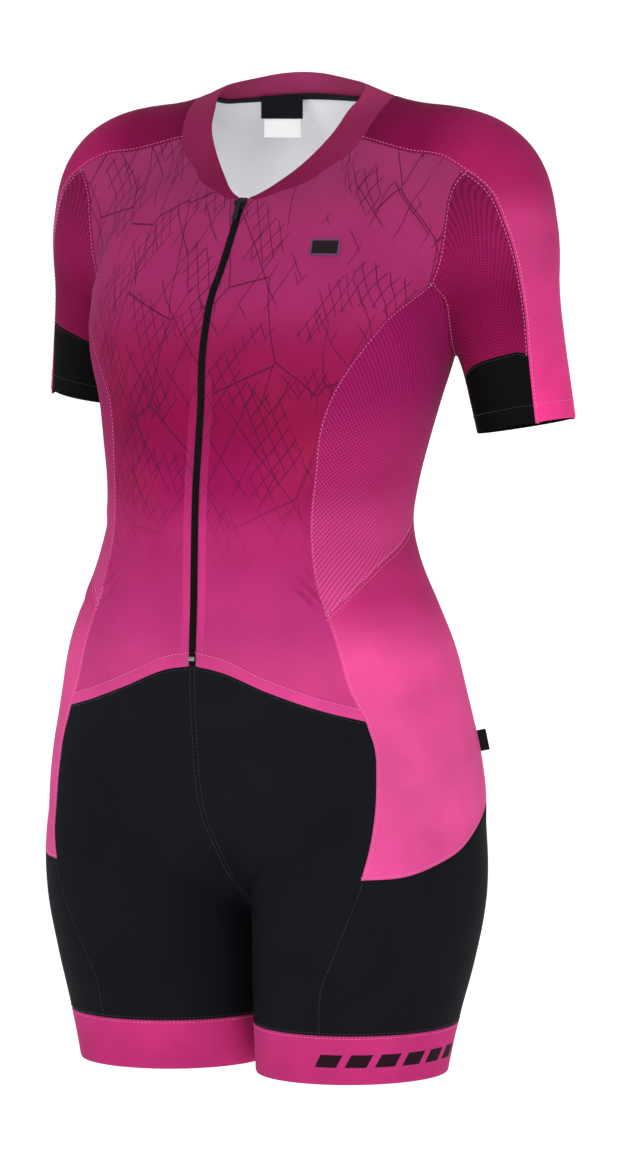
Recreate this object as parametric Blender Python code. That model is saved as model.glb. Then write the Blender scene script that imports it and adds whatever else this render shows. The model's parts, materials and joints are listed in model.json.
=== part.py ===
"""A women's cycling skinsuit with short sleeves and a full front zip, as it stands when worn.

The suit is a set of cut panels that lie on one smooth body form. The form is a distance
function: a lofted trunk, two arms and two legs, blended together. Every seam is a curve on
that form. A panel is a grid of points between four seams, and its wall goes inwards from the
form along the form's own normals, so that neighbouring panels meet evenly at each seam.

Frame: metres, +Z up, the front faces -Y, and +X is the wearer's left. The origin lies at the
top of the chest, level with the shoulders, where the wearer's shoulders carry the suit.
"""
import math

import bmesh
import bpy
import numpy as np
from mathutils import Matrix, Vector

MM = 0.001

# ---------------------------------------------------------------- driving sizes, in metres
WALL = 1.5 * MM               # cloth thickness of every panel
SEAM_GAP = 0.3 * MM           # clear space between neighbouring panels
ARMPIT_GAP = 0.5 * MM         # the mesh sides are cut back further, for the tight fold there
ZIP_HALF_WIDTH = 3.5 * MM     # half of the space that the zip fills between the fronts
HEM_BAND_HEIGHT = 12.5 * MM   # turned-up hem of the jersey front
GRIPPER_TOP = -0.771          # heights of the leg grippers' two edges
GRIPPER_BOTTOM = -0.813
CUFF_HEIGHT_SHARE = 0.175     # black cuff, as a share of the arm line
CUFF_TOP_DIP = 0.07           # how much lower its seam runs on the inner side of the arm
SLEEVE_END = {"left": 0.935, "right": 0.893}   # where each sleeve ends along the arm line
CUFF_TOP_EVEN = 0.15          # how evenly the points of the cuff's two rings are spread, from
CUFF_LOW_EVEN = 0.5           # 0 (as the armhole's points are) to 1 (even angles)
STRIPE_BOW = 0.040            # how far the stripe's lower edge is bowed out before it is fitted
CROTCH_Y = -0.053             # the point below the crotch where the four leg seams meet
CROTCH_Z = -0.690
HIP_CENTRE_START = -0.48      # above this the panels are laid out round the trunk's middle
HIP_CENTRE_END = -0.66        # below this they are laid out round the leg's middle
SPLIT_DIRECTION = (0, 0.37, 1)   # makes two panels split the faces of a shared seam alike

# Trims: sizes, and places measured along or across the pieces that carry them.
ZIP_RISE = 0.7 * MM           # the closed zip stands this far above the cloth
ZIP_THICKNESS = 2.2 * MM
SLIDER_WIDTH = 9.0 * MM
SLIDER_LENGTH = 11.0 * MM
SLIDER_THICKNESS = 2.0 * MM
SLIDER_FROM_TOP = 7.0 * MM    # slider's middle below the zip's upper end
EAR_WIDTH = 1.3 * MM          # the two ears that hold the pull tab's pin
EAR_LENGTH = 4.0 * MM
EAR_COVER = 0.4 * MM          # metal of the ear above the pin
EAR_ROOT = 0.5 * MM           # how far above the slider's underside the ears start
EAR_INSET = 0.1 * MM          # keeps the ears' sides off the slider's own sides
PLATE_INSET = 0.2 * MM        # the tab's plate is this much narrower than its eye
PIN_RADIUS = 0.65 * MM
PULL_EYE_RADIUS = 1.5 * MM
PULL_HOLE_RADIUS = 0.95 * MM
PULL_LENGTH = 17.0 * MM
PULL_THICKNESS = 1.2 * MM
PULL_LEAN = math.radians(6)   # the tab leans in towards the chest below the slider
STOP_SIZE = (6.0 * MM, 3.5 * MM, 1.2 * MM)
STOP_FROM_HEM = 6.0 * MM
PATCH_CENTRE = (0.088, -0.106, -0.114)   # bare patch on the wearer's left of the chest
PATCH_SIZE = (26.0 * MM, 16.0 * MM)
PATCH_THICKNESS = 0.6 * MM
TAG_POINT = (0.189, -0.012, -0.530)      # folded tag in the rear side seam
TAG_SIZE = (1.2 * MM, 8.0 * MM, 18.0 * MM)
TAPE_WIDTH = 6.0 * MM         # tape over the neck seam, inside
TAPE_THICKNESS = 0.8 * MM
LABEL_CENTRE_X = -0.0255      # both neck labels hang to the wearer's right of the middle,
LABEL_ROOT = 0.0120           # straight down from this height at the neck seam
NECK_LABEL = {"width": 40.0 * MM, "top": 0.0120, "bottom": -0.0075, "depth": 4.4 * MM}
CARE_LABEL = {"width": 35.0 * MM, "top": 0.0040, "bottom": -0.0235, "depth": 3.6 * MM}
LABEL_THICKNESS = 0.45 * MM

# The trunk, one row for each height: z, half width, widest y, front y, back y, squareness.
TORSO = [
    (0.0340, 0.034, -0.004, -0.018, 0.010, 2.0),
    (0.0206, 0.071, 0.001, -0.018, 0.018, 2.0),
    (0.0103, 0.092, 0.003, -0.023, 0.025, 2.1),
    (0.0000, 0.114, 0.006, -0.030, 0.034, 2.3),
    (-0.0120, 0.138, 0.006, -0.037, 0.046, 2.5),
    (-0.0300, 0.152, 0.003, -0.049, 0.061, 2.5),
    (-0.0500, 0.160, -0.004, -0.066, 0.073, 2.4),
    (-0.0745, 0.164, -0.014, -0.090, 0.083, 2.3),
    (-0.1070, 0.166, -0.024, -0.111, 0.090, 2.3),
    (-0.1310, 0.166, -0.030, -0.126, 0.091, 2.3),
    (-0.1550, 0.166, -0.036, -0.143, 0.088, 2.3),
    (-0.1780, 0.165, -0.040, -0.152, 0.083, 2.3),
    (-0.2020, 0.162, -0.043, -0.158, 0.076, 2.3),
    (-0.2460, 0.151, -0.047, -0.161, 0.066, 2.2),
    (-0.2800, 0.143, -0.053, -0.165, 0.058, 2.2),
    (-0.3130, 0.137, -0.058, -0.169, 0.051, 2.15),
    (-0.3480, 0.135, -0.063, -0.171, 0.043, 2.15),
    (-0.3820, 0.144, -0.063, -0.172, 0.044, 2.15),
    (-0.4150, 0.160, -0.062, -0.173, 0.050, 2.1),
    (-0.4500, 0.175, -0.060, -0.175, 0.056, 2.1),
    (-0.4840, 0.184, -0.058, -0.175, 0.061, 2.1),
    (-0.5180, 0.189, -0.056, -0.172, 0.065, 2.1),
    (-0.5530, 0.190, -0.054, -0.168, 0.065, 2.1),
    (-0.5880, 0.183, -0.052, -0.158, 0.058, 2.1),
    (-0.6250, 0.152, -0.052, -0.130, 0.036, 2.0),
    (-0.6550, 0.088, -0.052, -0.096, -0.008, 2.0),
    (-0.6720, 0.020, -0.052, -0.066, -0.038, 2.0),
]
# One leg, one row for each height: z, centre x, centre y, half width, half depth. The rows
# above the crotch lie inside the trunk.
LEG = [
    (-0.460, 0.102, -0.053, 0.030, 0.040),
    (-0.500, 0.102, -0.053, 0.058, 0.072),
    (-0.540, 0.103, -0.053, 0.078, 0.093),
    (-0.580, 0.103, -0.053, 0.090, 0.106),
    (-0.620, 0.103, -0.054, 0.095, 0.112),
    (-0.670, 0.102, -0.054, 0.096, 0.109),
    (-0.720, 0.097, -0.055, 0.092, 0.101),
    (-0.770, 0.091, -0.057, 0.086, 0.091),
    (-0.820, 0.087, -0.058, 0.080, 0.084),
    (-0.870, 0.085, -0.058, 0.076, 0.080),
]
# The arm line, from inside the shoulder to past the cuff, with the sleeve's size round it:
# share of the line, x, y, z, half size across, half depth.
ARM = [
    (0.00, 0.030, 0.004, -0.052, 0.045, 0.045),
    (0.12, 0.080, 0.008, -0.050, 0.050, 0.050),
    (0.24, 0.132, 0.009, -0.049, 0.054, 0.055),
    (0.35, 0.170, 0.008, -0.065, 0.058, 0.060),
    (0.46, 0.182, 0.008, -0.102, 0.058, 0.060),
    (0.60, 0.188, 0.011, -0.152, 0.053, 0.058),
    (0.74, 0.2010, 0.014, -0.200, 0.0440, 0.051),
    (0.88, 0.2095, 0.017, -0.245, 0.0420, 0.046),
    (1.00, 0.218, 0.018, -0.290, 0.041, 0.042),
]
ARM_SAMPLES = 81              # straight bits that stand for the arm line
LEG_BLEND = 0.010             # softness of the join between the two legs
HIP_BLEND = 0.035             # softness of the join between trunk and legs
SHOULDER_BLEND = 0.032        # softness of the join between trunk and arm, above
ARMPIT_BLEND = 0.007          # and in the armpit
ARMPIT_BLEND_HEIGHTS = (-0.19, -0.12)

# ---------------------------------------------------------------- seams, in millimetres
# Each row is one point that the seam passes, on the wearer's left, as (x, y, z).
COLLAR_SEAM_FRONT = [(16.5, -88.7, -74.5), (32.5, -83, -67.5), (50.7, -74.4, -60.3),
                     (65, -62.5, -48.4), (81, -52, -36), (89, -44, -24.5)]
COLLAR_SEAM_SHOULDER = [(89, -44, -24.5), (94.5, -23.6, -1.7), (95, -6, 7),
                        (90, 9, 8.5), (80, 19, 8.5)]
COLLAR_SEAM_BACK = [(80, 19, 8.5), (55, 23, 11), (30, 23.5, 12.5), (0, 23.5, 13.5)]
NECKLINE = [(4, -89.5, -73.8), (11, -86.5, -70.5), (30.8, -70.2, -54.8), (49, -54, -34.6),
            (61.4, -40.3, -15.2), (66.5, -26, 1.5), (71, -13, 13.5), (68, -2, 21.5),
            (51, 6, 28.5), (26, 9.7, 32), (0, 10.6, 32.8)]
YOKE_FRONT = [(89, -44, -24.5), (133, -44.3, -35.5), (165, -41.3, -41), (184, -39, -52),
              (203, -36, -66), (217.8, -32.2, -96.4), (227.1, -26.3, -132.2),
              (231.6, -20.4, -168.1), (233.5, -19, -199), (237.4, -16.7, -241.7),
              (240, -15, -270), (243, -14, -300)]
YOKE_BACK = [(80, 19, 8.5), (112, 42, -4), (145, 52, -18), (178, 54, -38), (203, 52, -68),
             (218, 48, -99), (228, 46, -133), (233, 45, -168), (237, 45, -200),
             (241.5, 46, -242), (244, 46, -270), (247, 46, -300)]
ARMHOLE_FRONT = [(184, -39, -52), (176, -49, -70), (173.5, -55, -92), (170, -57.5, -120),
                 (164.5, -61.5, -145)]
ARMHOLE_UNDER = [(164.5, -61.5, -145), (169.5, -50, -157), (167.7, -39.9, -175.1),
                 (163.8, -24.8, -196.6), (159.3, -10.2, -205.7), (155.1, 2.4, -205.3),
                 (151.5, 12.7, -200.2), (147.8, 22.6, -191.4), (143.5, 33.9, -177.1)]
ARMHOLE_BACK = [(143.5, 33.9, -177.1), (139.6, 51, -145.3), (140.5, 57, -122),
                (152, 61, -85), (178, 54, -38)]
SIDE_FRONT = [(112, -145, -420), (104, -145, -400), (98, -145, -372.8), (95, -142, -333),
              (97, -139, -301.5), (100, -137, -266.5), (106.6, -133.1, -242.5),
              (121.1, -126.8, -214.2), (135.1, -114.6, -190.2), (145.4, -100.7, -172.2),
              (155.8, -81.8, -157.6), (164.5, -61.5, -145)]
SIDE_BACK_UPPER = [(128, -18, -346), (134, -10, -310), (140, -1, -270), (144, 12, -226),
                   (143.5, 33.9, -177.1)]
SIDE_BACK_LOWER = [(193, -4, -582), (189, -12, -530), (182, -14, -470), (160, -14, -410),
                   (128, -18, -346)]
MESH_LOWER = [(112, -145, -420), (127, -126.8, -399.5), (137.4, -96.1, -377.7),
              (137, -65.6, -365), (134, -41.5, -354), (128, -18, -346)]
WAIST_BACK = [(0, 44, -338), (60, 38, -338), (100, 16, -340), (128, -18, -346)]
TIP_TO_CORNER = [(145, -137, -506), (132, -142, -480), (122, -144, -447), (112, -145, -420)]
JERSEY_HEM = [(0, -175.4, -463.2), (23, -174.7, -466.6), (71, -167, -484),
              (117, -151, -499), (145, -137, -506)]
HIP_FRONT = [(149, -152, -637), (154, -145, -607), (156, -140, -578), (156, -138, -553),
             (153, -135, -530), (145, -137, -506)]
HIP_LOWER = [(149, -152, -637), (178.9, -125.4, -634.9), (193.7, -95.6, -626.3),
             (199, -64.4, -615.9), (199, -35, -600), (193, -4, -582)]
HIP_LOWER_BACK = [(0, 62, -565), (70, 60, -567), (140, 40, -572), (193, -4, -582)]
LEG_FRONT = [(149, -152, -637), (140, -154, -660.7), (122, -155, -702), (108.7, -153.2, -732),
             (103, -147, -771)]
LEG_BACK = [(193, -4, -582), (196, -8, -640), (186, -4, -700), (172, -2, -771)]
CENTRE_FRONT = [(0, -175.4, -463.2), (0, -171, -532), (0, -157, -590), (0, -120, -643),
                (0, -90, -665), (0, -53, -690)]
CENTRE_BACK = [(0, 62, -565), (0, 44, -610), (0, 6, -650), (0, -24, -670), (0, -53, -690)]
INSEAM = [(0, -53, -690), (4.5, -53.5, -705), (5, -55, -735), (5, -57, -771)]

# How many straight bits each seam is divided into.
CUTS = {"collar_front": 5, "collar_shoulder": 4, "collar_back": 3, "collar_width": 2,
        "yoke_body": 4, "yoke_sleeve": 6, "cuff": 2,
        "armhole_front": 5, "armhole_under": 8, "armhole_back": 5,
        "side_front": 11, "tip": 3, "hip_front": 6, "mesh_lower": 8, "waist_back": 7,
        "hem_band": 1, "leg": 9, "crotch_front": 10, "crotch_back": 4, "inseam": 5,
        "hip_lower": 8, "gripper": 2}

PINK = (0.69, 0.06, 0.25)
PLUM = (0.33, 0.02, 0.13)
BLACK = (0.012, 0.011, 0.016)
WHITE = (0.80, 0.80, 0.80)
METAL = (0.10, 0.10, 0.11)


# ---------------------------------------------------------------- the body form
def read_table(rows, at):
    """Read a table of rows (key, a, b, ...) at any key, along a smooth curve through it."""
    table = np.array(sorted(rows), float)
    keys, values = table[:, 0], table[:, 1:]
    slope = np.gradient(values, keys, axis=0)
    at = np.clip(np.asarray(at, float), keys[0], keys[-1])
    index = np.clip(np.searchsorted(keys, at, side="right") - 1, 0, len(keys) - 2)
    step = (keys[index + 1] - keys[index])
    t = ((at - keys[index]) / step)[..., None]
    step = step[..., None]
    start = (2 * t**3 - 3 * t**2 + 1) * values[index] + (t**3 - 2 * t**2 + t) * step * slope[index]
    end = (3 * t**2 - 2 * t**3) * values[index + 1] + (t**3 - t**2) * step * slope[index + 1]
    return start + end


def oval_distance(across, along, half_across, half_along, squareness=2.0):
    """Roughly how far a point lies outside a rounded oval, measured from its middle."""
    x = np.abs(across) / half_across
    y = np.abs(along) / half_along
    share = (x**squareness + y**squareness + 1e-9) ** (1 / squareness)
    radius = np.sqrt(across**2 + along**2) + 1e-6
    return (1 - 1 / share) * radius


def torso_distance(p):
    half_width, widest, front, back, squareness = np.moveaxis(read_table(TORSO, p[..., 2]), -1, 0)
    along = p[..., 1] - widest
    half_depth = np.where(along < 0, widest - front, back - widest)
    below = np.maximum(0, TORSO[-1][0] - p[..., 2])
    return oval_distance(p[..., 0], along, half_width, half_depth, squareness) + 1.5 * below


def leg_distance(p, side):
    centre_x, centre_y, half_width, half_depth = np.moveaxis(read_table(LEG, p[..., 2]), -1, 0)
    above = np.maximum(0, p[..., 2] - LEG[0][0])
    oval = oval_distance(p[..., 0] * side - centre_x, p[..., 1] - centre_y, half_width, half_depth)
    return oval + 1.5 * above


ARM_LINE = read_table(ARM, np.linspace(0, 1, ARM_SAMPLES))


def nearest_on_arm(p):
    """The share along the arm line nearest to each point, and the line's row there."""
    start, end = ARM_LINE[:-1, :3], ARM_LINE[1:, :3]
    step = end - start
    t = np.clip(((p[:, None] - start) * step).sum(-1) / (step * step).sum(-1), 0, 1)
    gap = ((p[:, None] - start - t[..., None] * step) ** 2).sum(-1)
    index = gap.argmin(1)
    t = t[np.arange(len(p)), index][:, None]
    row = ARM_LINE[index] * (1 - t) + ARM_LINE[index + 1] * t
    return (index + t[:, 0]) / (ARM_SAMPLES - 1), row


def arm_distance(p):
    flat = p.reshape(-1, 3) * 1.0
    flat[:, 0] = np.abs(flat[:, 0])
    _, row = nearest_on_arm(flat)
    offset = flat - row[:, :3]
    across = np.hypot(offset[:, 0], offset[:, 2])
    return oval_distance(across, offset[:, 1], row[:, 3], row[:, 4]).reshape(p.shape[:-1])


def soft_union(a, b, softness):
    mix = np.clip(0.5 + 0.5 * (b - a) / softness, 0, 1)
    return b + (a - b) * mix - softness * mix * (1 - mix)


def smooth_step(value, low, high):
    t = np.clip((value - low) / (high - low), 0, 1)
    return t * t * (3 - 2 * t)


def body_distance(p):
    legs = soft_union(leg_distance(p, 1), leg_distance(p, -1), LEG_BLEND)
    trunk = soft_union(torso_distance(p), legs, HIP_BLEND)
    rise = smooth_step(p[..., 2], *ARMPIT_BLEND_HEIGHTS)
    blend = ARMPIT_BLEND + (SHOULDER_BLEND - ARMPIT_BLEND) * rise
    return soft_union(trunk, arm_distance(p), blend)


def slope_of(distance, p, step=0.5 * MM):
    shifts = np.eye(3) * step
    return np.stack([(distance(p + s) - distance(p - s)) / (2 * step) for s in shifts], -1)


def body_slope(p):
    return slope_of(body_distance, p)


def body_normal(p):
    slope = body_slope(p)
    return slope / np.linalg.norm(slope, axis=-1, keepdims=True)


def on_body(p, steps=7):
    """Slide points along the form's slope until they lie on it."""
    p = np.array(p, float)
    for _ in range(steps):
        slope = body_slope(p)
        move = body_distance(p) / np.maximum((slope ** 2).sum(-1), 0.2)
        p -= np.clip(move, -0.02, 0.02)[..., None] * slope
    return p


def hang(label, columns, rows, steps=12):
    """The grid of a label that hangs straight down, just inside the neck seam."""
    x = LABEL_CENTRE_X + np.linspace(-0.5, 0.5, columns) * label["width"]
    root = np.stack(np.broadcast_arrays(x, 0.02, LABEL_ROOT), -1)
    for _ in range(steps):
        root[:, 1] = on_body(root, 1)[:, 1]
    z = np.linspace(label["bottom"], label["top"], rows)[:, None]
    y = root[:, 1] - label["depth"]
    return np.stack(np.broadcast_arrays(x[None, :], y[None, :], z), -1)


def in_armpit(p, steps=40):
    """Slide points into the crease that the form has between arm and trunk."""
    def lead(q):
        return torso_distance(q) - arm_distance(q)
    p = np.array(p, float)
    for _ in range(steps):
        slope = slope_of(lead, p)
        move = lead(p) / np.maximum((slope ** 2).sum(-1), 0.2)
        p = on_body(p - 0.5 * np.clip(move, -0.01, 0.01)[..., None] * slope, 2)
    return p


# ---------------------------------------------------------------- seams as curves on the form
def smooth_line(points, samples=160):
    """A dense curve through a few points, on the form."""
    points = np.array(points, float)
    gaps = np.linalg.norm(np.diff(points, axis=0), axis=1)
    keys = np.concatenate([[0], np.cumsum(gaps)])
    rows = np.column_stack([keys, points])
    return on_body(read_table([tuple(row) for row in rows], np.linspace(0, keys[-1], samples)))


def divide(line, cuts):
    """Divide a curve into equal lengths, and give the points between them."""
    gaps = np.linalg.norm(np.diff(line, axis=0), axis=1)
    keys = np.concatenate([[0], np.cumsum(gaps)])
    at = np.linspace(0, keys[-1], cuts + 1)
    points = np.column_stack([np.interp(at, keys, line[:, k]) for k in range(3)])
    inner = on_body(points[1:-1])
    return np.concatenate([points[:1], inner, points[-1:]])


def seam(rows, cuts):
    return divide(smooth_line(np.array(rows) * MM), cuts)


def chain(*pieces):
    """Join seams end to end."""
    joined = [pieces[0]]
    for piece in pieces[1:]:
        joined.append(piece[1:])
    return np.concatenate(joined)


# ---------------------------------------------------------------- two ways to lay out a panel
def trunk_centre(z):
    """The middle that a panel is laid out round: the trunk's, and lower down the leg's."""
    drift = smooth_step(-z, -HIP_CENTRE_START, -HIP_CENTRE_END)
    leg_x = read_table(LEG, z)[..., 0]
    return leg_x * drift, np.full_like(z, CROTCH_Y)


def to_trunk(p, facing):
    """Angle round the middle, height and radius. Angles lie within half a turn of facing."""
    centre_x, centre_y = trunk_centre(p[..., 2])
    x, y = p[..., 0] - centre_x, p[..., 1] - centre_y
    angle = np.arctan2(x, -y)
    angle = facing + (angle - facing + math.pi) % (2 * math.pi) - math.pi
    return np.stack([angle, p[..., 2], np.hypot(x, y)], -1)


def from_trunk(c):
    centre_x, centre_y = trunk_centre(c[..., 1])
    x = centre_x + c[..., 2] * np.sin(c[..., 0])
    y = centre_y - c[..., 2] * np.cos(c[..., 0])
    return np.stack([x, y, c[..., 1]], -1)


def arm_frame(share):
    """A point on the arm line, and the direction across it that starts upwards or outwards."""
    at = read_table(ARM, share)[..., :3]
    step = 0.01
    run = read_table(ARM, share + step)[..., :3] - read_table(ARM, share - step)[..., :3]
    run = run / np.linalg.norm(run, axis=-1, keepdims=True)
    out = np.stack([-run[..., 2], np.zeros_like(share), run[..., 0]], -1)
    return at, out / np.linalg.norm(out, axis=-1, keepdims=True)


def to_arm(p, facing):
    """Angle round the arm line from the front, share along it and radius."""
    shape = p.shape[:-1]
    share, _ = nearest_on_arm(p.reshape(-1, 3))
    share = share.reshape(shape)
    at, out = arm_frame(share)
    offset = p - at
    outwards = (offset * out).sum(-1)
    angle = np.arctan2(outwards, -offset[..., 1])
    angle = facing + (angle - facing + math.pi) % (2 * math.pi) - math.pi
    return np.stack([angle, share, np.hypot(outwards, offset[..., 1])], -1)


def from_arm(c):
    at, out = arm_frame(c[..., 1])
    turned = np.sin(c[..., 0])[..., None] * out
    front = np.cos(c[..., 0])[..., None] * np.array([0, -1, 0])
    return at + c[..., 2][..., None] * (turned + front)


def fill(bottom, top, start, end, layout="trunk", facing=0.0, start_facing=None, end_facing=None,
         fade=1):
    """A grid of points between four seams: rows go from bottom to top, columns from start to end.

    The inner points are blended from the four sides as angles, heights and radii, and are
    then moved onto the form. A higher fade keeps the shape of the start and end seams closer
    to them.
    """
    to, back = (to_trunk, from_trunk) if layout == "trunk" else (to_arm, from_arm)
    b, t = to(bottom, facing), to(top, facing)
    s = to(start, facing if start_facing is None else start_facing)
    e = to(end, facing if end_facing is None else end_facing)
    b[0], b[-1], t[0], t[-1] = s[0], e[0], s[-1], e[-1]
    for edge in (b, t):
        edge[:, 0] = np.unwrap(edge[:, 0])
    u = np.linspace(0, 1, len(bottom))[None, :, None]
    v = np.linspace(0, 1, len(start))[:, None, None]
    rows = (1 - v) * b[None] + v * t[None]
    start_bow = s[:, None] - (1 - v) * s[0] - v * s[-1]
    end_bow = e[:, None] - (1 - v) * e[0] - v * e[-1]
    grid = on_body(back(rows + (1 - u)**fade * start_bow + u**fade * end_bow))
    grid[0], grid[-1], grid[:, 0], grid[:, -1] = bottom, top, start, end
    return grid


# ---------------------------------------------------------------- walls
def unit(v):
    return v / np.maximum(np.linalg.norm(v, axis=-1, keepdims=True), 1e-9)


def edge_shift(line, inner, normals):
    """The direction in the cloth that leads from an edge to the panel, square to the edge."""
    along = unit(np.gradient(line, axis=0))
    into = inner - line
    across = unit(np.cross(along, normals))
    return across * np.sign((across * into).sum(-1, keepdims=True))


def take_in(grid, normals, gap, closed):
    """Move a panel's edges in by half the seam gap."""
    shift = np.zeros_like(grid)
    sides = [((0, slice(None)), (1, slice(None))), ((-1, slice(None)), (-2, slice(None)))]
    if not closed:
        sides += [((slice(None), 0), (slice(None), 1)), ((slice(None), -1), (slice(None), -2))]
    for edge, inner in sides:
        step = edge_shift(grid[edge], grid[inner], normals[edge])
        lean = 1 + (shift[edge] * step).sum(-1, keepdims=True)
        shift[edge] = (shift[edge] + step) / np.maximum(lean, 0.4)
    return grid + shift * gap / 2


def cloth(name, grid, material, closed=False, top=0.0, thickness=WALL, gap=SEAM_GAP,
          outwards=None):
    """Make a panel's wall. It reaches from top above the form to thickness below that."""
    normals = body_normal(grid) if outwards is None else np.broadcast_to(outwards, grid.shape)
    outer = take_in(grid, normals, gap, closed)
    inner = outer + normals * (top - thickness)
    outer = outer + normals * top
    rows, columns = grid.shape[:2]
    mesh = bmesh.new()
    sheets = [[[mesh.verts.new(q) for q in row] for row in sheet] for sheet in (outer, inner)]
    spans = columns if closed else columns - 1
    for r in range(rows - 1):
        for c in range(spans):
            d = (c + 1) % columns
            falling = (np.linalg.norm(outer[r, c] - outer[r + 1, d])
                       > np.linalg.norm(outer[r, d] - outer[r + 1, c]))
            for sheet, order in zip(sheets, (1, -1)):
                ring = [sheet[r][c], sheet[r][d], sheet[r + 1][d], sheet[r + 1][c]]
                for corners in ((0, 1, 3), (1, 2, 3)) if falling else ((0, 1, 2), (0, 2, 3)):
                    mesh.faces.new([ring[k] for k in corners][::order])
    border = [(0, c, 0, (c + 1) % columns) for c in range(spans)]
    border += [(rows - 1, (c + 1) % columns, rows - 1, c) for c in range(spans)]
    if not closed:
        border += [(r, columns - 1, r + 1, columns - 1) for r in range(rows - 1)]
        border += [(r + 1, 0, r, 0) for r in range(rows - 1)]
    for r, c, s, d in border:
        ring = [sheets[1][r][c], sheets[1][s][d], sheets[0][s][d], sheets[0][r][c]]
        lower_first = (grid[r, c] - grid[s, d]) @ np.array(SPLIT_DIRECTION) < 0
        for corners in ((0, 1, 3), (1, 2, 3)) if lower_first else ((0, 1, 2), (0, 2, 3)):
            mesh.faces.new([ring[k] for k in corners])
    r, c = (rows - 1) // 2, (columns - 1) // 2
    facing = np.cross(outer[r, c + 1] - outer[r, c], outer[r + 1, c] - outer[r, c])
    if facing @ normals[r, c] < 0:
        bmesh.ops.reverse_faces(mesh, faces=mesh.faces[:])
    return finish(name, mesh, material)


def finish(name, mesh, material):
    """Turn a bmesh into a named object with its material, in the suit's collection."""
    data = bpy.data.meshes.new(name)
    mesh.to_mesh(data)
    mesh.free()
    data.materials.append(material)
    for polygon in data.polygons:
        polygon.use_smooth = True
    data.set_sharp_from_angle(angle=math.radians(50))
    thing = bpy.data.objects.new(name, data)
    SUIT.objects.link(thing)
    return thing


def mirrored(grid):
    return grid * np.array([-1, 1, 1])


def whole(half):
    """A grid that starts on the middle plane, joined with its mirror image."""
    return np.concatenate([mirrored(half[:, :0:-1]), half], axis=1)


def pair(name, grid, material, **options):
    """The same panel for the wearer's left and right."""
    cloth(name + "_left", grid, material, **options)
    cloth(name + "_right", mirrored(grid), material, **options)


def material(name, colour, roughness, metallic=0.0):
    made = bpy.data.materials.new(name)
    made.use_nodes = True
    shader = made.node_tree.nodes["Principled BSDF"]
    shader.inputs["Base Color"].default_value = (*colour, 1)
    shader.inputs["Roughness"].default_value = roughness
    shader.inputs["Metallic"].default_value = metallic
    return made


# ---------------------------------------------------------------- the seams of one half
def cut_line_at(line, shares):
    """Cut a dense seam that runs down the arm where it passes each share of the arm line."""
    reached, _ = nearest_on_arm(line)
    marks = [int(np.argmax(reached >= share)) for share in shares]
    bounds = [0] + marks
    return [line[a:b + 1] for a, b in zip(bounds[:-1], bounds[1:])]


def part_of(line, point):
    """The index of a dense seam's point nearest to a given point."""
    return int(np.linalg.norm(line - point, axis=1).argmin())


def sleeve_ring(front_edge, back_edge, share, turns, dip=0.0):
    """The sleeve's ring at one share of the arm line, from the front edge round underneath.

    The turns are each point's part of the way round. The dip is how much further along the
    arm the ring runs on its inner side.
    """
    first = to_arm(front_edge[None], 0.0)[0]
    last = to_arm(back_edge[None], -math.pi)[0]
    t = turns
    ring = np.stack([first[0] + (last[0] - first[0]) * t, share + dip * np.sin(math.pi * t)**4,
                     first[2] + (last[2] - first[2]) * t], -1)
    line = on_body(from_arm(ring))
    line[0], line[-1] = front_edge, back_edge
    return line


def leg_ring(start, end, facing, cuts):
    """Part of the leg's ring at the gripper's top, between two seams' ends."""
    first, last = to_trunk(start[None], facing)[0], to_trunk(end[None], facing)[0]
    t = np.linspace(0, 1, cuts * 8 + 1)
    ring = np.stack([first[0] + (last[0] - first[0]) * t, np.full_like(t, GRIPPER_TOP),
                     first[2] + (last[2] - first[2]) * t], -1)
    line = on_body(from_trunk(ring))
    line[:, 2] = GRIPPER_TOP
    line[0], line[-1] = start, end
    return divide(line, cuts)


def build_trunk(seams):
    """The jersey: two fronts with their hems, two mesh sides, the back, and the hips."""
    front_top = chain(seams["top_strip"], seams["collar_front"], seams["yoke_front_body"])
    outer = chain(seams["tip"], seams["side_front"], seams["armhole_front"][::-1])
    front = fill(seams["band_top"], front_top, seams["zip"], outer)
    pair("front", front, PRINT_CLOTH)
    band = np.stack([seams["jersey_hem"], seams["band_top"]])
    pair("front_hem", band, PRINT_CLOTH)
    mesh_side = fill(seams["mesh_lower"], seams["armhole_under"], seams["side_front"],
                     seams["side_back_upper"], facing=math.pi / 2)
    pair("side_mesh", mesh_side, MESH_CLOTH, gap=ARMPIT_GAP)
    back_outer = chain(seams["side_back_upper"], seams["armhole_back"])
    back_middle = seam([(0, 44, -338), (0, 78, -215), (0, 91, -115), (0, 62, -32), (0, 23.5, 13.5)],
                       len(back_outer) - 1)
    back_top = chain(seams["collar_back"][::-1], seams["yoke_back_body"])
    back_half = fill(seams["waist_back"], back_top, back_middle, back_outer, facing=math.pi)
    cloth("back", whole(back_half), BACK_CLOTH)
    hip_start = chain(seams["hip_front"], seams["band_side"], seams["tip"])
    hip = fill(seams["hip_lower"], seams["mesh_lower"], hip_start, seams["side_back_lower"],
               facing=math.pi / 2)
    pair("hip", hip, PINK_CLOTH)
    seat_middle = seam([(0, 62, -565), (0, 58, -470), (0, 44, -338)],
                       len(seams["side_back_lower"]) - 1)
    seat = fill(seams["hip_lower_back"], seams["waist_back"], seat_middle,
                seams["side_back_lower"], facing=math.pi)
    cloth("lower_back", whole(seat), PINK_CLOTH)


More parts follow.
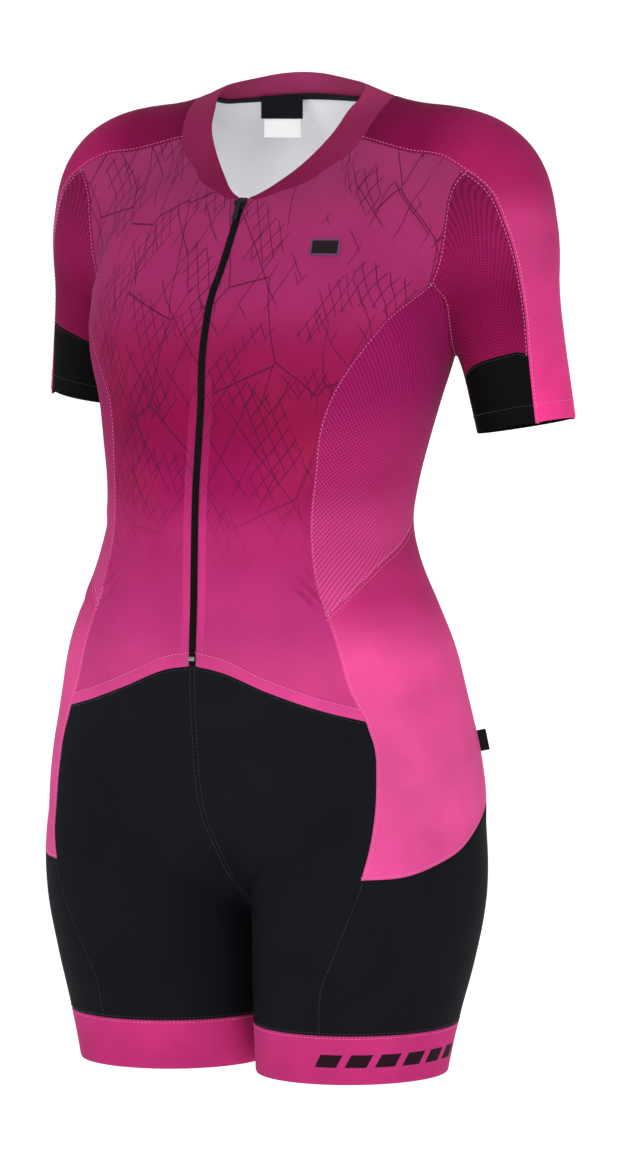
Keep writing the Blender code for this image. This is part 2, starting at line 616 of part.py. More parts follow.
def build_shorts(seams):
    """The shorts: a front, an outer side and a back for each leg, and a gripper at each hem."""
    inner, front_corner, back_corner = (seams[key][-1] for key in ("inseam", "leg_front", "leg_back"))
    front_low = leg_ring(inner, front_corner, 0.0, len(seams["jersey_hem"]) - 1)
    side_low = leg_ring(front_corner, back_corner, math.pi / 2, CUTS["hip_lower"])
    back_low = leg_ring(back_corner, inner, math.pi, CUTS["waist_back"])
    front_inner = chain(seams["crotch_front"], seams["inseam"])[::-1]
    front_outer = chain(seams["leg_front"][::-1], seams["hip_front"])
    front = fill(front_low, seams["jersey_hem"], front_inner, front_outer, facing=0.0)
    pair("shorts_front", front, SHORTS_CLOTH)
    side = fill(side_low, seams["hip_lower"], seams["leg_front"][::-1], seams["leg_back"][::-1],
                facing=math.pi / 2)
    pair("shorts_side", side, SHORTS_CLOTH)
    back_inner = chain(seams["crotch_back"], seams["inseam"])[::-1]
    back = fill(back_low[::-1], seams["hip_lower_back"], back_inner, seams["leg_back"][::-1],
                facing=math.pi)
    pair("shorts_back", back, SHORTS_CLOTH)
    ring = chain(front_low, side_low, back_low)[:-1]
    rows = []
    for height in np.linspace(GRIPPER_BOTTOM, GRIPPER_TOP, CUTS["gripper"] + 1):
        row = ring.copy()
        row[:, 2] = height
        fixed = on_body(row)
        fixed[:, 2] = height
        rows.append(on_body(fixed, 2))
    rows[-1] = ring
    pair("gripper", np.array(rows), GRIPPER_CLOTH, closed=True)


def build_sleeve(seams, side):
    """One sleeve with its cuff, and the shoulder stripe that runs from collar to cuff."""
    end = SLEEVE_END[side]
    shares = (end - CUFF_HEIGHT_SHARE, end)
    front_parts = cut_line_at(seams["yoke_front_arm"], shares)
    back_parts = cut_line_at(seams["yoke_back_arm"], shares)
    front = [divide(line, CUTS[key]) for line, key in zip(front_parts, ("yoke_sleeve", "cuff"))]
    back = [divide(line, CUTS[key]) for line, key in zip(back_parts, ("yoke_sleeve", "cuff"))]
    armhole = chain(seams["armhole_front"], seams["armhole_under"], seams["armhole_back"])
    even = np.linspace(0, 1, len(armhole))

    def spread(evenness):
        return (1 - evenness) * turns + evenness * even

    turns = np.unwrap(to_arm(armhole, -math.pi / 2)[:, 0])
    turns = (turns - turns[0]) / (turns[-1] - turns[0])
    cuff_top = sleeve_ring(front[0][-1], back[0][-1], shares[0], spread(CUFF_TOP_EVEN),
                           CUFF_TOP_DIP)
    cuff_low = sleeve_ring(front[1][-1], back[1][-1], shares[1], spread(CUFF_LOW_EVEN))
    turned = -math.pi / 2
    sleeve = fill(cuff_top, armhole, front[0][::-1], back[0][::-1], layout="arm", facing=turned,
                  start_facing=0.0, end_facing=-math.pi, fade=3)
    cuff = fill(cuff_low, cuff_top, front[1][::-1], back[1][::-1], layout="arm", facing=turned,
                start_facing=0.0, end_facing=-math.pi)
    yoke_front = chain(seams["yoke_front_body"], *front)[::-1]
    yoke_back = chain(seams["yoke_back_body"], *back)[::-1]
    t = np.linspace(0, 1, 33)[:, None]
    low = on_body((1 - t) * yoke_front[0] + t * yoke_back[0]
                  + np.array([STRIPE_BOW, 0, 0]) * (4 * t * (1 - t)))
    shared = to_arm(low, math.pi / 2)
    shared[:, 1] = end
    low = on_body(from_arm(shared))
    low[0], low[-1] = yoke_front[0], yoke_back[0]
    yoke = fill(divide(low, CUTS["collar_shoulder"]), seams["collar_shoulder"], yoke_front,
                yoke_back, layout="arm", facing=math.pi / 2)
    flip = (lambda grid: grid) if side == "left" else mirrored
    cloth("sleeve_" + side, flip(sleeve), MESH_CLOTH)
    cloth("cuff_" + side, flip(cuff), SHORTS_CLOTH)
    cloth("shoulder_stripe_" + side, flip(yoke), PINK_CLOTH)


def half_seams():
    """Every seam on the wearer's left, divided so that the panels on both sides share points."""
    s = {}
    s["collar_front"] = seam(COLLAR_SEAM_FRONT, CUTS["collar_front"])
    s["collar_shoulder"] = seam(COLLAR_SEAM_SHOULDER, CUTS["collar_shoulder"])
    s["collar_back"] = seam(COLLAR_SEAM_BACK, CUTS["collar_back"])
    strip = np.array([(ZIP_HALF_WIDTH, s["collar_front"][0][1], s["collar_front"][0][2]),
                      s["collar_front"][0]])
    s["top_strip"] = np.stack([on_body(strip)[0], s["collar_front"][0]])
    for key, rows in (("front", YOKE_FRONT), ("back", YOKE_BACK)):
        line = smooth_line(np.array(rows) * MM)
        line[0] = s["collar_shoulder"][0 if key == "front" else -1]
        armhole_rows = ARMHOLE_FRONT if key == "front" else ARMHOLE_BACK
        corner = np.array(armhole_rows[0 if key == "front" else -1]) * MM
        split = part_of(line, corner)
        s["yoke_" + key + "_body"] = divide(line[:split + 1], CUTS["yoke_body"])
        s["yoke_" + key + "_arm"] = line[split:]
    s["armhole_front"] = seam(ARMHOLE_FRONT, CUTS["armhole_front"])
    s["armhole_under"] = seam(ARMHOLE_UNDER, CUTS["armhole_under"])
    s["armhole_back"] = seam(ARMHOLE_BACK, CUTS["armhole_back"])
    start, end = CUTS["armhole_under"] // 4, CUTS["armhole_back"] // 5 + 1
    s["armhole_under"][start:] = in_armpit(s["armhole_under"][start:])
    s["armhole_back"][1:end] = in_armpit(s["armhole_back"][1:end])
    s["armhole_back"][0] = s["armhole_under"][-1]
    s["armhole_front"][0] = s["yoke_front_body"][-1]
    s["armhole_back"][-1] = s["yoke_back_body"][-1]
    s["side_front"] = seam(SIDE_FRONT, CUTS["side_front"])
    s["side_back_upper"] = seam(SIDE_BACK_UPPER, CUTS["side_front"])
    s["side_back_upper"][-1] = s["armhole_under"][-1]
    rows = CUTS["hip_front"] + CUTS["hem_band"] + CUTS["tip"]
    s["side_back_lower"] = seam(SIDE_BACK_LOWER, rows)
    s["mesh_lower"] = seam(MESH_LOWER, CUTS["mesh_lower"])
    s["waist_back"] = seam(WAIST_BACK, CUTS["waist_back"])
    s["hip_front"] = seam(HIP_FRONT, CUTS["hip_front"])
    s["hip_lower"] = seam(HIP_LOWER, CUTS["hip_lower"])
    s["hip_lower_back"] = seam(HIP_LOWER_BACK, CUTS["waist_back"])
    s["leg_front"] = seam(LEG_FRONT, CUTS["leg"])
    s["leg_back"] = seam(LEG_BACK, CUTS["leg"])
    s["crotch_front"] = seam(CENTRE_FRONT, CUTS["crotch_front"])
    s["crotch_back"] = seam(CENTRE_BACK, CUTS["crotch_back"])
    s["inseam"] = seam(INSEAM, CUTS["inseam"])
    meet = on_body(np.array([[0.0, CROTCH_Y, CROTCH_Z]]))[0]
    s["crotch_front"][-1] = s["crotch_back"][-1] = s["inseam"][0] = meet
    count = CUTS["collar_front"] + 1 + CUTS["yoke_body"]
    s["jersey_hem"] = seam(JERSEY_HEM, count)
    s["crotch_front"][0] = s["jersey_hem"][0]
    s["leg_front"][-1][2] = s["leg_back"][-1][2] = s["inseam"][-1][2] = GRIPPER_TOP
    tip_line = smooth_line(np.array(TIP_TO_CORNER) * MM)
    gaps = np.cumsum(np.linalg.norm(np.diff(tip_line, axis=0), axis=1))
    band_end = int(np.argmax(gaps >= HEM_BAND_HEIGHT)) + 1
    s["band_side"] = tip_line[[0, band_end]]
    s["tip"] = divide(tip_line[band_end:], CUTS["tip"])
    s["hip_front"][-1] = s["jersey_hem"][-1] = s["band_side"][0]
    s["mesh_lower"][0] = s["side_front"][0] = s["tip"][-1]
    lift = np.linspace(0, 1, count + 1)[:, None]
    raised = s["jersey_hem"] + np.array([0, 0, HEM_BAND_HEIGHT]) * (1 - lift)
    s["band_top"] = on_body(raised + (s["tip"][0] - s["jersey_hem"][-1]) * lift)
    s["band_top"][-1] = s["tip"][0]
    for key in ("jersey_hem", "band_top"):
        s[key][0, 0] = ZIP_HALF_WIDTH
    s["jersey_hem"][0] = on_body(s["jersey_hem"][:1])[0]
    s["crotch_front"][0] = s["jersey_hem"][0] * np.array([0, 1, 1])
    rows = CUTS["tip"] + CUTS["side_front"] + CUTS["armhole_front"]
    heights = np.linspace(s["band_top"][0][2], s["top_strip"][0][2], 60)
    front_y = read_table(TORSO, heights)[:, 2]
    zip_line = on_body(np.stack([np.full(60, ZIP_HALF_WIDTH), front_y, heights], -1))
    zip_line[:, 0] = ZIP_HALF_WIDTH
    s["zip"] = divide(zip_line, rows)
    s["zip"][0], s["zip"][-1] = s["band_top"][0], s["top_strip"][0]
    return s


def build_collar(seams):
    """The collar band, from the zip round the back of the neck to the zip again."""
    seam_side = chain(seams["collar_front"], seams["collar_shoulder"], seams["collar_back"])[::-1]
    edge = seam(NECKLINE, len(seam_side) - 1)[::-1]
    rows = [seam_side + (edge - seam_side) * t for t in np.linspace(0, 1, CUTS["collar_width"] + 1)]
    half = on_body(np.array(rows))
    half[0] = seam_side
    half[:, 0, 0] = 0.0
    cloth("collar", whole(half), PINK_CLOTH)
    return half


# ---------------------------------------------------------------- zip and trims
def box(name, size, place, material):
    """A box, centred at the place matrix."""
    mesh = bmesh.new()
    bmesh.ops.create_cube(mesh, size=1.0, matrix=place @ Matrix.Diagonal((*size, 1)))
    return finish(name, mesh, material)


def rod(name, radius, length, place, material, sides=20):
    """A closed cylinder along the place's own X."""
    mesh = bmesh.new()
    turn = Matrix.Rotation(math.pi / 2, 4, "Y")
    bmesh.ops.create_cone(mesh, cap_ends=True, segments=sides, radius1=radius, radius2=radius,
                          depth=length, matrix=place @ turn)
    return finish(name, mesh, material)


def combine(thing, tool, operation):
    """Join a tool to a piece, or cut it out, and leave the tool in the hidden collection."""
    modifier = thing.modifiers.new(operation.title(), "BOOLEAN")
    modifier.operation = operation
    modifier.object = tool
    SUIT.objects.unlink(tool)
    CUTTERS.objects.link(tool)
    tool.hide_render = True
    tool.display_type = "WIRE"


def frame_at(point, down):
    """A matrix at a point of the front: X sideways, Y down along the zip, Z out of the cloth."""
    normal = Vector(body_normal(np.array([point]))[0])
    down = Vector(down).normalized()
    normal = (normal - down * normal.dot(down)).normalized()
    side = down.cross(normal)
    return Matrix.Translation(Vector(point)) @ Matrix((side, down, normal)).transposed().to_4x4()


def along_zip(seams, distance_from_top):
    """A point on the zip's middle line, and the line's downward direction there."""
    line = seams["zip_middle"][::-1]
    keys = np.concatenate([[0], np.cumsum(np.linalg.norm(np.diff(line, axis=0), axis=1))])
    spots = [np.array([np.interp(d, keys, line[:, k]) for k in range(3)])
             for d in (distance_from_top, distance_from_top + 4 * MM)]
    return spots[0], spots[1] - spots[0], keys[-1]


def build_zip(seams):
    """The closed zip, its slider with the pull tab's pin, the pull tab and the bottom stop."""
    edge = chain(seams["jersey_hem"][:1], seams["zip"])
    seams["zip_middle"] = edge * np.array([0, 1, 1])
    strip = np.stack([mirrored(edge), seams["zip_middle"], edge], axis=1)
    cloth("zip_chain", strip, ZIP_BLACK, top=ZIP_RISE, thickness=ZIP_THICKNESS)
    spot, down, length = along_zip(seams, SLIDER_FROM_TOP)
    place = frame_at(spot, down)
    floor = ZIP_RISE + SEAM_GAP
    body = Matrix.Translation((0, 0, floor + SLIDER_THICKNESS / 2))
    slider = box("zip_slider", (SLIDER_WIDTH, SLIDER_LENGTH, SLIDER_THICKNESS), place @ body,
                 SLIDER_METAL)
    pin_height = floor + SLIDER_THICKNESS + SEAM_GAP + PULL_EYE_RADIUS
    ear_top = pin_height + PIN_RADIUS + EAR_COVER
    for side in (-1, 1):
        at = (side * (SLIDER_WIDTH - EAR_WIDTH) / 2, 0, (floor + EAR_ROOT + ear_top) / 2)
        size = (EAR_WIDTH - EAR_INSET, EAR_LENGTH, ear_top - floor - EAR_ROOT)
        ear = box("ear_tool", size, place @ Matrix.Translation(at), SLIDER_METAL)
        combine(slider, ear, "UNION")
    axis = place @ Matrix.Translation((0, 0, pin_height))
    combine(slider, rod("pin_tool", PIN_RADIUS, SLIDER_WIDTH - EAR_WIDTH, axis, SLIDER_METAL), "UNION")
    eye_length = SLIDER_WIDTH - 2 * EAR_WIDTH - 2 * SEAM_GAP
    lean = axis @ Matrix.Rotation(-PULL_LEAN, 4, "X")
    plate_place = lean @ Matrix.Translation((0, PULL_LENGTH / 2 + PULL_HOLE_RADIUS, 0))
    pull = rod("zip_pull", PULL_EYE_RADIUS, eye_length, lean, PULL_BLACK, sides=24)
    plate = box("plate_tool", (eye_length - PLATE_INSET, PULL_LENGTH, PULL_THICKNESS), plate_place,
                PULL_BLACK)
    combine(pull, plate, "UNION")
    hole = rod("eye_tool", PULL_HOLE_RADIUS, 2 * eye_length, lean, PULL_BLACK, sides=24)
    combine(pull, hole, "DIFFERENCE")
    spot, down, _ = along_zip(seams, length - STOP_FROM_HEM)
    low = frame_at(spot, down) @ Matrix.Translation((0, 0, floor + STOP_SIZE[2] / 2))
    box("zip_bottom_stop", STOP_SIZE, low, STOP_METAL)
    print("pull tab hinge at", [round(v, 5) for v in axis.translation], "axis",
          [round(v, 5) for v in axis.to_3x3() @ Vector((1, 0, 0))])


def build_trims(seams, collar_half):
    """The bare chest patch, the seam tag, and the tape and labels inside the back of the neck."""
    centre = on_body(np.array([PATCH_CENTRE]))[0]
    normal = Vector(body_normal(centre[None])[0])
    across = Vector((0, 0, 1)).cross(normal).normalized()
    up = normal.cross(across)
    u = np.linspace(-0.5, 0.5, 4)[None, :, None] * PATCH_SIZE[0]
    v = np.linspace(-0.5, 0.5, 3)[:, None, None] * PATCH_SIZE[1]
    grid = on_body(centre + u * np.array(across) + v * np.array(up))
    cloth("chest_patch", grid, PATCH_FILM, top=PATCH_THICKNESS + 2 * SEAM_GAP,
          thickness=PATCH_THICKNESS, gap=0.0)
    root = on_body(np.array([TAG_POINT]))[0]
    out = Vector(body_normal(root[None])[0])
    side = out.cross(Vector((0, 0, 1))).normalized()
    turn = Matrix((side, out, side.cross(out))).transposed().to_4x4()
    lift = Matrix.Translation((0, TAG_SIZE[1] / 2 + 2 * SEAM_GAP, 0))
    box("side_tag", TAG_SIZE, Matrix.Translation(Vector(root)) @ turn @ lift, TAG_CLOTH)
    count = CUTS["collar_back"] + 2
    seam_line, above = collar_half[0][:count], collar_half[1][:count]
    rise = unit(above - seam_line) * TAPE_WIDTH / 2
    tape = on_body(np.array([seam_line - rise, seam_line + rise]))
    tape[:, 0, 0] = 0.0
    cloth("neck_tape", whole(tape), TAG_CLOTH, top=-WALL - 2 * SEAM_GAP,
          thickness=TAPE_THICKNESS, gap=0.0)
    for name, label, finish_of in (("neck_label", NECK_LABEL, TAG_CLOTH),
                                   ("care_label", CARE_LABEL, LABEL_WHITE)):
        cloth(name, hang(label, 5, 4), finish_of, thickness=LABEL_THICKNESS, gap=0.0,
              outwards=(0.0, 1.0, 0.0))


SUIT = bpy.data.collections.new("cycling_skinsuit")
CUTTERS = bpy.data.collections.new("cutters")


def main():
    for thing in list(bpy.data.objects):
        bpy.data.objects.remove(thing)
    for group in (SUIT, CUTTERS):
        bpy.context.scene.collection.children.link(group)
    seams = half_seams()
    build_trunk(seams)
    build_shorts(seams)
    build_sleeve(seams, "left")
    build_sleeve(seams, "right")
    collar_half = build_collar(seams)
    build_zip(seams)
    build_trims(seams, collar_half)


PRINT_CLOTH = material("Printed polyester knit", PINK, 0.7)
MESH_CLOTH = material("Dyed polyester mesh", PLUM, 0.7)
BACK_CLOTH = material("Dyed polyester back knit", PLUM, 0.7)
PINK_CLOTH = material("Pink polyester knit", PINK, 0.6)
SHORTS_CLOTH = material("Black elastane knit", BLACK, 0.6)
GRIPPER_CLOTH = material("Pink gripper knit", PINK, 0.6)
ZIP_BLACK = material("Black nylon coil zip", BLACK, 0.5)
SLIDER_METAL = material("Black painted zinc slider", METAL, 0.35, 0.6)
PULL_BLACK = material("Black moulded pull tab", BLACK, 0.4)
STOP_METAL = material("Zinc bottom stop", (0.55, 0.55, 0.56), 0.35, 1.0)
PATCH_FILM = material("Heat bonded chest film", (0.05, 0.02, 0.04), 0.45)
TAG_CLOTH = material("Black woven tape", BLACK, 0.7)
LABEL_WHITE = material("White satin label", WHITE, 0.5)
main()
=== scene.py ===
# %% [markdown]
# # A women's cycling skinsuit, dressed for a picture
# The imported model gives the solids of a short-sleeved cycling skinsuit in its worn form: one
# closed wall for each cut panel, and the hard parts of the zip. They hang in the air at the
# wearer's shoulders, because nobody is inside. This lesson puts the real surfaces on them:
# thin knit shells, a printed chest, dyed mesh, seams with their stitches, and the zip's teeth.
#
# We load the model first. It stays a fixed frame, so nothing of it is moved or resized here.

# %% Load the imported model
import json
import math

import bmesh
import bpy
import numpy as np
from mathutils import Matrix, Vector

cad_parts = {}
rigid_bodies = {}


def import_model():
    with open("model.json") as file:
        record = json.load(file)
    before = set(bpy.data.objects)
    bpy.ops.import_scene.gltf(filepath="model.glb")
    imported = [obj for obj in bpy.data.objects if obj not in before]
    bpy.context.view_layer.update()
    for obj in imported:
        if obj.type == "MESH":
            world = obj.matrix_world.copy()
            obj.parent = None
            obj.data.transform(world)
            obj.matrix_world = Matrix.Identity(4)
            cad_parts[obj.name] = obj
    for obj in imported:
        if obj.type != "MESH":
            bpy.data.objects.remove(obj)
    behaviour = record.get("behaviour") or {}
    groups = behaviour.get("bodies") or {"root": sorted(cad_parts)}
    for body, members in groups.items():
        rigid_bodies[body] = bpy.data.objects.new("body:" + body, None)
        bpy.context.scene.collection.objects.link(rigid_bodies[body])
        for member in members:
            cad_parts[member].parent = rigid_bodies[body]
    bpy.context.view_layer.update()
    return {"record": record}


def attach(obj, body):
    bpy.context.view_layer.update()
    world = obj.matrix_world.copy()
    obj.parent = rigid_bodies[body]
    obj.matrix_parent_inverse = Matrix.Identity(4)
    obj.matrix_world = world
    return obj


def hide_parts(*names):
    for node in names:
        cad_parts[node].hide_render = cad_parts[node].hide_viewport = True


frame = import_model()
MM = 0.001

# %% [markdown]
# ## The picture
# A catalogue picture of clothing is taken from far away with a long lens, so the near side
# isn't swollen. The camera stands 5.2 m off, 30 degrees to the wearer's left, level with the
# shoulders. The lens is worked out from how many millimetres of cloth one pixel shows. A
# small shift of the lens frames the garment as in the picture, and keeps upright lines as
# they are, which turning the camera wouldn't.

# %% Camera
AZIMUTH = math.radians(30)
DISTANCE = 5.2
AIM_HEIGHT = -0.41
METRES_PER_PIXEL = 0.00086
IMAGE_SIZE = (618, 1160)
ORIGIN_PIXEL = (297, 110)      # where the frame's origin lies in the picture
SENSOR = 36.0                  # millimetres, along the picture's long side

back_off = Vector((math.sin(AZIMUTH), -math.cos(AZIMUTH), 0))
place = back_off * DISTANCE
aim = Vector((0, 0, AIM_HEIGHT)) - place
focal = aim.length / METRES_PER_PIXEL
camera = bpy.data.objects.new("camera", bpy.data.cameras.new("camera"))
bpy.context.scene.collection.objects.link(camera)
camera.location = place
camera.rotation_euler = aim.to_track_quat("-Z", "Y").to_euler()
camera.data.sensor_width = SENSOR
camera.data.lens = SENSOR * focal / IMAGE_SIZE[1]
turned = camera.rotation_euler.to_matrix().inverted() @ -place
camera.data.shift_x = (IMAGE_SIZE[0] / 2 + focal * turned.x / -turned.z - ORIGIN_PIXEL[0]) / IMAGE_SIZE[1]
camera.data.shift_y = (ORIGIN_PIXEL[1] - IMAGE_SIZE[1] / 2 + focal * turned.y / -turned.z) / IMAGE_SIZE[1]
bpy.context.scene.camera = camera
print("lens", round(camera.data.lens, 1), "mm, shift", round(camera.data.shift_x, 4),
      round(camera.data.shift_y, 4))

# %% [markdown]
# ## Colours and nodes
# Colours on a screen are stored in sRGB, but the renderer adds up light in linear values. One
# function turns the hex codes over. A second one adds a node, sets it and links it, so a
# whole material reads as a list of such calls.

# %% Colour and node helpers
def linear(code):
    """Turn an sRGB hex code into linear red, green, blue and alpha."""
    channels = [int(code[k:k + 2], 16) / 255 for k in (1, 3, 5)]
    return (*[c / 12.92 if c <= 0.04045 else ((c + 0.055) / 1.055) ** 2.4 for c in channels], 1.0)


def add(tree, kind, settings=None, **sockets):
    """Add a node. Sockets are named, with _ for a space, or numbered, as in _0."""
    made = tree.nodes.new(kind)
    for key, value in (settings or {}).items():
        setattr(made, key, value)
    for key, value in sockets.items():
        socket = made.inputs[int(key[1:])] if key[0] == "_" else made.inputs[key.replace("_", " ")]
        if isinstance(value, bpy.types.NodeSocket):
            tree.links.new(value, socket)
        else:
            socket.default_value = value
    return made


def start_material(name):
    """An empty node tree with its surface output."""
    made = bpy.data.materials.new(name)
    made.use_nodes = True
    made.node_tree.nodes.clear()
    return made, made.node_tree


print("pink as linear values:", [round(v, 3) for v in linear("#E03F8B")])

# %% [markdown]
# ## Light
# The picture has the soft, even light of a studio: a wide softbox in front and to the right, a
# weaker one on the left, and pale surroundings. The cloth goes darker where it turns away to
# the left, so the right side carries more light. A tiny lamp inside the chest brightens the
# white back of the neck, as a stylist's hidden lamp does. A curved white backdrop stands well
# behind, and its floor is where the wearer's feet would be.

# %% Studio
def lamp(name, size, power, at, towards=(0, 0, -0.4)):
    light = bpy.data.lights.new(name, "AREA")
    light.shape = "RECTANGLE"
    light.size, light.size_y = size
    light.energy = power
    thing = bpy.data.objects.new(name, light)
    bpy.context.scene.collection.objects.link(thing)
    thing.location = at
    thing.visible_camera = False
    thing.rotation_euler = (Vector(towards) - Vector(at)).to_track_quat("-Z", "Y").to_euler()


LAMPS = [("key softbox", (1.6, 2.2), 56, (2.6, -2.9, 1.0)),
         ("front fill", (2.0, 2.4), 20, (-0.4, -3.4, 1.4)),
         ("left edge", (0.8, 2.0), 5, (-3.0, -0.6, 0.4)),
         ("top", (2.0, 2.0), 9, (0.2, -0.3, 2.4)),
         ("inside the neck", (0.12, 0.08), 0.08, (0.0, -0.035, -0.15), (-0.01, 0.06, -0.02))]
for row in LAMPS:
    lamp(*row)
world = bpy.data.worlds.new("studio air")
world.use_nodes = True
world.node_tree.nodes["Background"].inputs["Color"].default_value = linear("#F2F4F6")
world.node_tree.nodes["Background"].inputs["Strength"].default_value = 0.5
bpy.context.scene.world = world
bpy.context.scene.view_settings.view_transform = "Standard"
print(len(LAMPS), "lamps")

# %% Backdrop
FLOOR_HEIGHT = -1.45
BACKDROP = [(-16.0, 0.0), (9.0, 0.0), (11.5, 0.4), (13.2, 1.6), (14.0, 4.0), (14.0, 11.0)]
HALF_WIDTH = 9.0


def build_backdrop():
    """A sheet of paper: floor in front, a bend, and a wall, square to the camera."""
    side = Vector((math.cos(AZIMUTH), math.sin(AZIMUTH), 0))
    mesh = bmesh.new()
    rows = [[mesh.verts.new(-back_off * far + side * HALF_WIDTH * s + Vector((0, 0, FLOOR_HEIGHT + up)))
             for s in (-1, 1)] for far, up in BACKDROP]
    for low, high in zip(rows, rows[1:]):
        mesh.faces.new((low[0], low[1], high[1], high[0])).smooth = True
    data = bpy.data.meshes.new("backdrop")
    mesh.to_mesh(data)
    mesh.free()
    paper, tree = start_material("Matt white backdrop paper")
    shade = add(tree, "ShaderNodeBsdfPrincipled", Base_Color=linear("#FBFBFC"), Roughness=0.9)
    glow = add(tree, "ShaderNodeEmission", Color=linear("#FFFFFF"), Strength=0.55)
    both = add(tree, "ShaderNodeAddShader", _0=shade.outputs[0], _1=glow.outputs[0])
    add(tree, "ShaderNodeOutputMaterial", Surface=both.outputs[0])
    data.materials.append(paper)
    thing = bpy.data.objects.new("backdrop", data)
    bpy.context.scene.collection.objects.link(thing)
    return thing


print("floor at", FLOOR_HEIGHT, "m,", len(build_backdrop().data.polygons), "faces")


# %% [markdown]
# ## The form under the cloth
# A tight knit garment has the shape of what fills it. The solids of this suit were cut from
# one smooth form: a trunk of stacked ovals, two arms and two legs, blended where they meet.
# We could wrap our cloth on the solids' faces, but those are coarse. Working the form out
# again, as a distance to its surface, lets us lay points on it as finely as we like.

# %% Tables of the form
# The trunk, one row for each height: z, half width, widest y, front y, back y, squareness.
TORSO = [
    (0.0340, 0.034, -0.004, -0.018, 0.010, 2.0),
    (0.0206, 0.071, 0.001, -0.018, 0.018, 2.0),
    (0.0103, 0.092, 0.003, -0.023, 0.025, 2.1),
    (0.0000, 0.114, 0.006, -0.030, 0.034, 2.3),
    (-0.0120, 0.138, 0.006, -0.037, 0.046, 2.5),
    (-0.0300, 0.152, 0.003, -0.049, 0.061, 2.5),
    (-0.0500, 0.160, -0.004, -0.066, 0.073, 2.4),
    (-0.0745, 0.164, -0.014, -0.090, 0.083, 2.3),
    (-0.1070, 0.166, -0.024, -0.111, 0.090, 2.3),
    (-0.1310, 0.166, -0.030, -0.126, 0.091, 2.3),
    (-0.1550, 0.166, -0.036, -0.143, 0.088, 2.3),
    (-0.1780, 0.165, -0.040, -0.152, 0.083, 2.3),
    (-0.2020, 0.162, -0.043, -0.158, 0.076, 2.3),
    (-0.2460, 0.151, -0.047, -0.161, 0.066, 2.2),
    (-0.2800, 0.143, -0.053, -0.165, 0.058, 2.2),
    (-0.3130, 0.137, -0.058, -0.169, 0.051, 2.15),
    (-0.3480, 0.135, -0.063, -0.171, 0.043, 2.15),
    (-0.3820, 0.144, -0.063, -0.172, 0.044, 2.15),
    (-0.4150, 0.160, -0.062, -0.173, 0.050, 2.1),
    (-0.4500, 0.175, -0.060, -0.175, 0.056, 2.1),
    (-0.4840, 0.184, -0.058, -0.175, 0.061, 2.1),
    (-0.5180, 0.189, -0.056, -0.172, 0.065, 2.1),
    (-0.5530, 0.190, -0.054, -0.168, 0.065, 2.1),
    (-0.5880, 0.183, -0.052, -0.158, 0.058, 2.1),
    (-0.6250, 0.152, -0.052, -0.130, 0.036, 2.0),
    (-0.6550, 0.088, -0.052, -0.096, -0.008, 2.0),
    (-0.6720, 0.020, -0.052, -0.066, -0.038, 2.0),
]
# One leg, one row for each height: z, centre x, centre y, half width, half depth. The rows
# above the crotch lie inside the trunk.
LEG = [
    (-0.460, 0.102, -0.053, 0.030, 0.040),
    (-0.500, 0.102, -0.053, 0.058, 0.072),
    (-0.540, 0.103, -0.053, 0.078, 0.093),
    (-0.580, 0.103, -0.053, 0.090, 0.106),
    (-0.620, 0.103, -0.054, 0.095, 0.112),
    (-0.670, 0.102, -0.054, 0.096, 0.109),
    (-0.720, 0.097, -0.055, 0.092, 0.101),
    (-0.770, 0.091, -0.057, 0.086, 0.091),
    (-0.820, 0.087, -0.058, 0.080, 0.084),
    (-0.870, 0.085, -0.058, 0.076, 0.080),
]
# The arm line, from inside the shoulder to past the cuff, with the sleeve's size round it:
# share of the line, x, y, z, half size across, half depth.
ARM = [
    (0.00, 0.030, 0.004, -0.052, 0.045, 0.045),
    (0.12, 0.080, 0.008, -0.050, 0.050, 0.050),
    (0.24, 0.132, 0.009, -0.049, 0.054, 0.055),
    (0.35, 0.170, 0.008, -0.065, 0.058, 0.060),
    (0.46, 0.182, 0.008, -0.102, 0.058, 0.060),
    (0.60, 0.188, 0.011, -0.152, 0.053, 0.058),
    (0.74, 0.2010, 0.014, -0.200, 0.0440, 0.051),
    (0.88, 0.2095, 0.017, -0.245, 0.0420, 0.046),
    (1.00, 0.218, 0.018, -0.290, 0.041, 0.042),
]
ARM_SAMPLES = 81              # straight bits that stand for the arm line
LEG_BLEND = 0.010             # softness of the join between the two legs
HIP_BLEND = 0.035             # softness of the join between trunk and legs
SHOULDER_BLEND = 0.032        # softness of the join between trunk and arm, above
ARMPIT_BLEND = 0.007          # and in the armpit
ARMPIT_BLEND_HEIGHTS = (-0.19, -0.12)

# %% The form as a distance
def read_table(rows, at):
    """Read a table of rows (key, a, b, ...) at any key, along a smooth curve through it."""
    table = np.array(sorted(rows), float)
    keys, values = table[:, 0], table[:, 1:]
    slope = np.gradient(values, keys, axis=0)
    at = np.clip(np.asarray(at, float), keys[0], keys[-1])
    index = np.clip(np.searchsorted(keys, at, side="right") - 1, 0, len(keys) - 2)
    step = (keys[index + 1] - keys[index])
    t = ((at - keys[index]) / step)[..., None]
    step = step[..., None]
    start = (2 * t**3 - 3 * t**2 + 1) * values[index] + (t**3 - 2 * t**2 + t) * step * slope[index]
    end = (3 * t**2 - 2 * t**3) * values[index + 1] + (t**3 - t**2) * step * slope[index + 1]
    return start + end


def oval_distance(across, along, half_across, half_along, squareness=2.0):
    """Roughly how far a point lies outside a rounded oval, measured from its middle."""
    x = np.abs(across) / half_across
    y = np.abs(along) / half_along
    share = (x**squareness + y**squareness + 1e-9) ** (1 / squareness)
    radius = np.sqrt(across**2 + along**2) + 1e-6
    return (1 - 1 / share) * radius


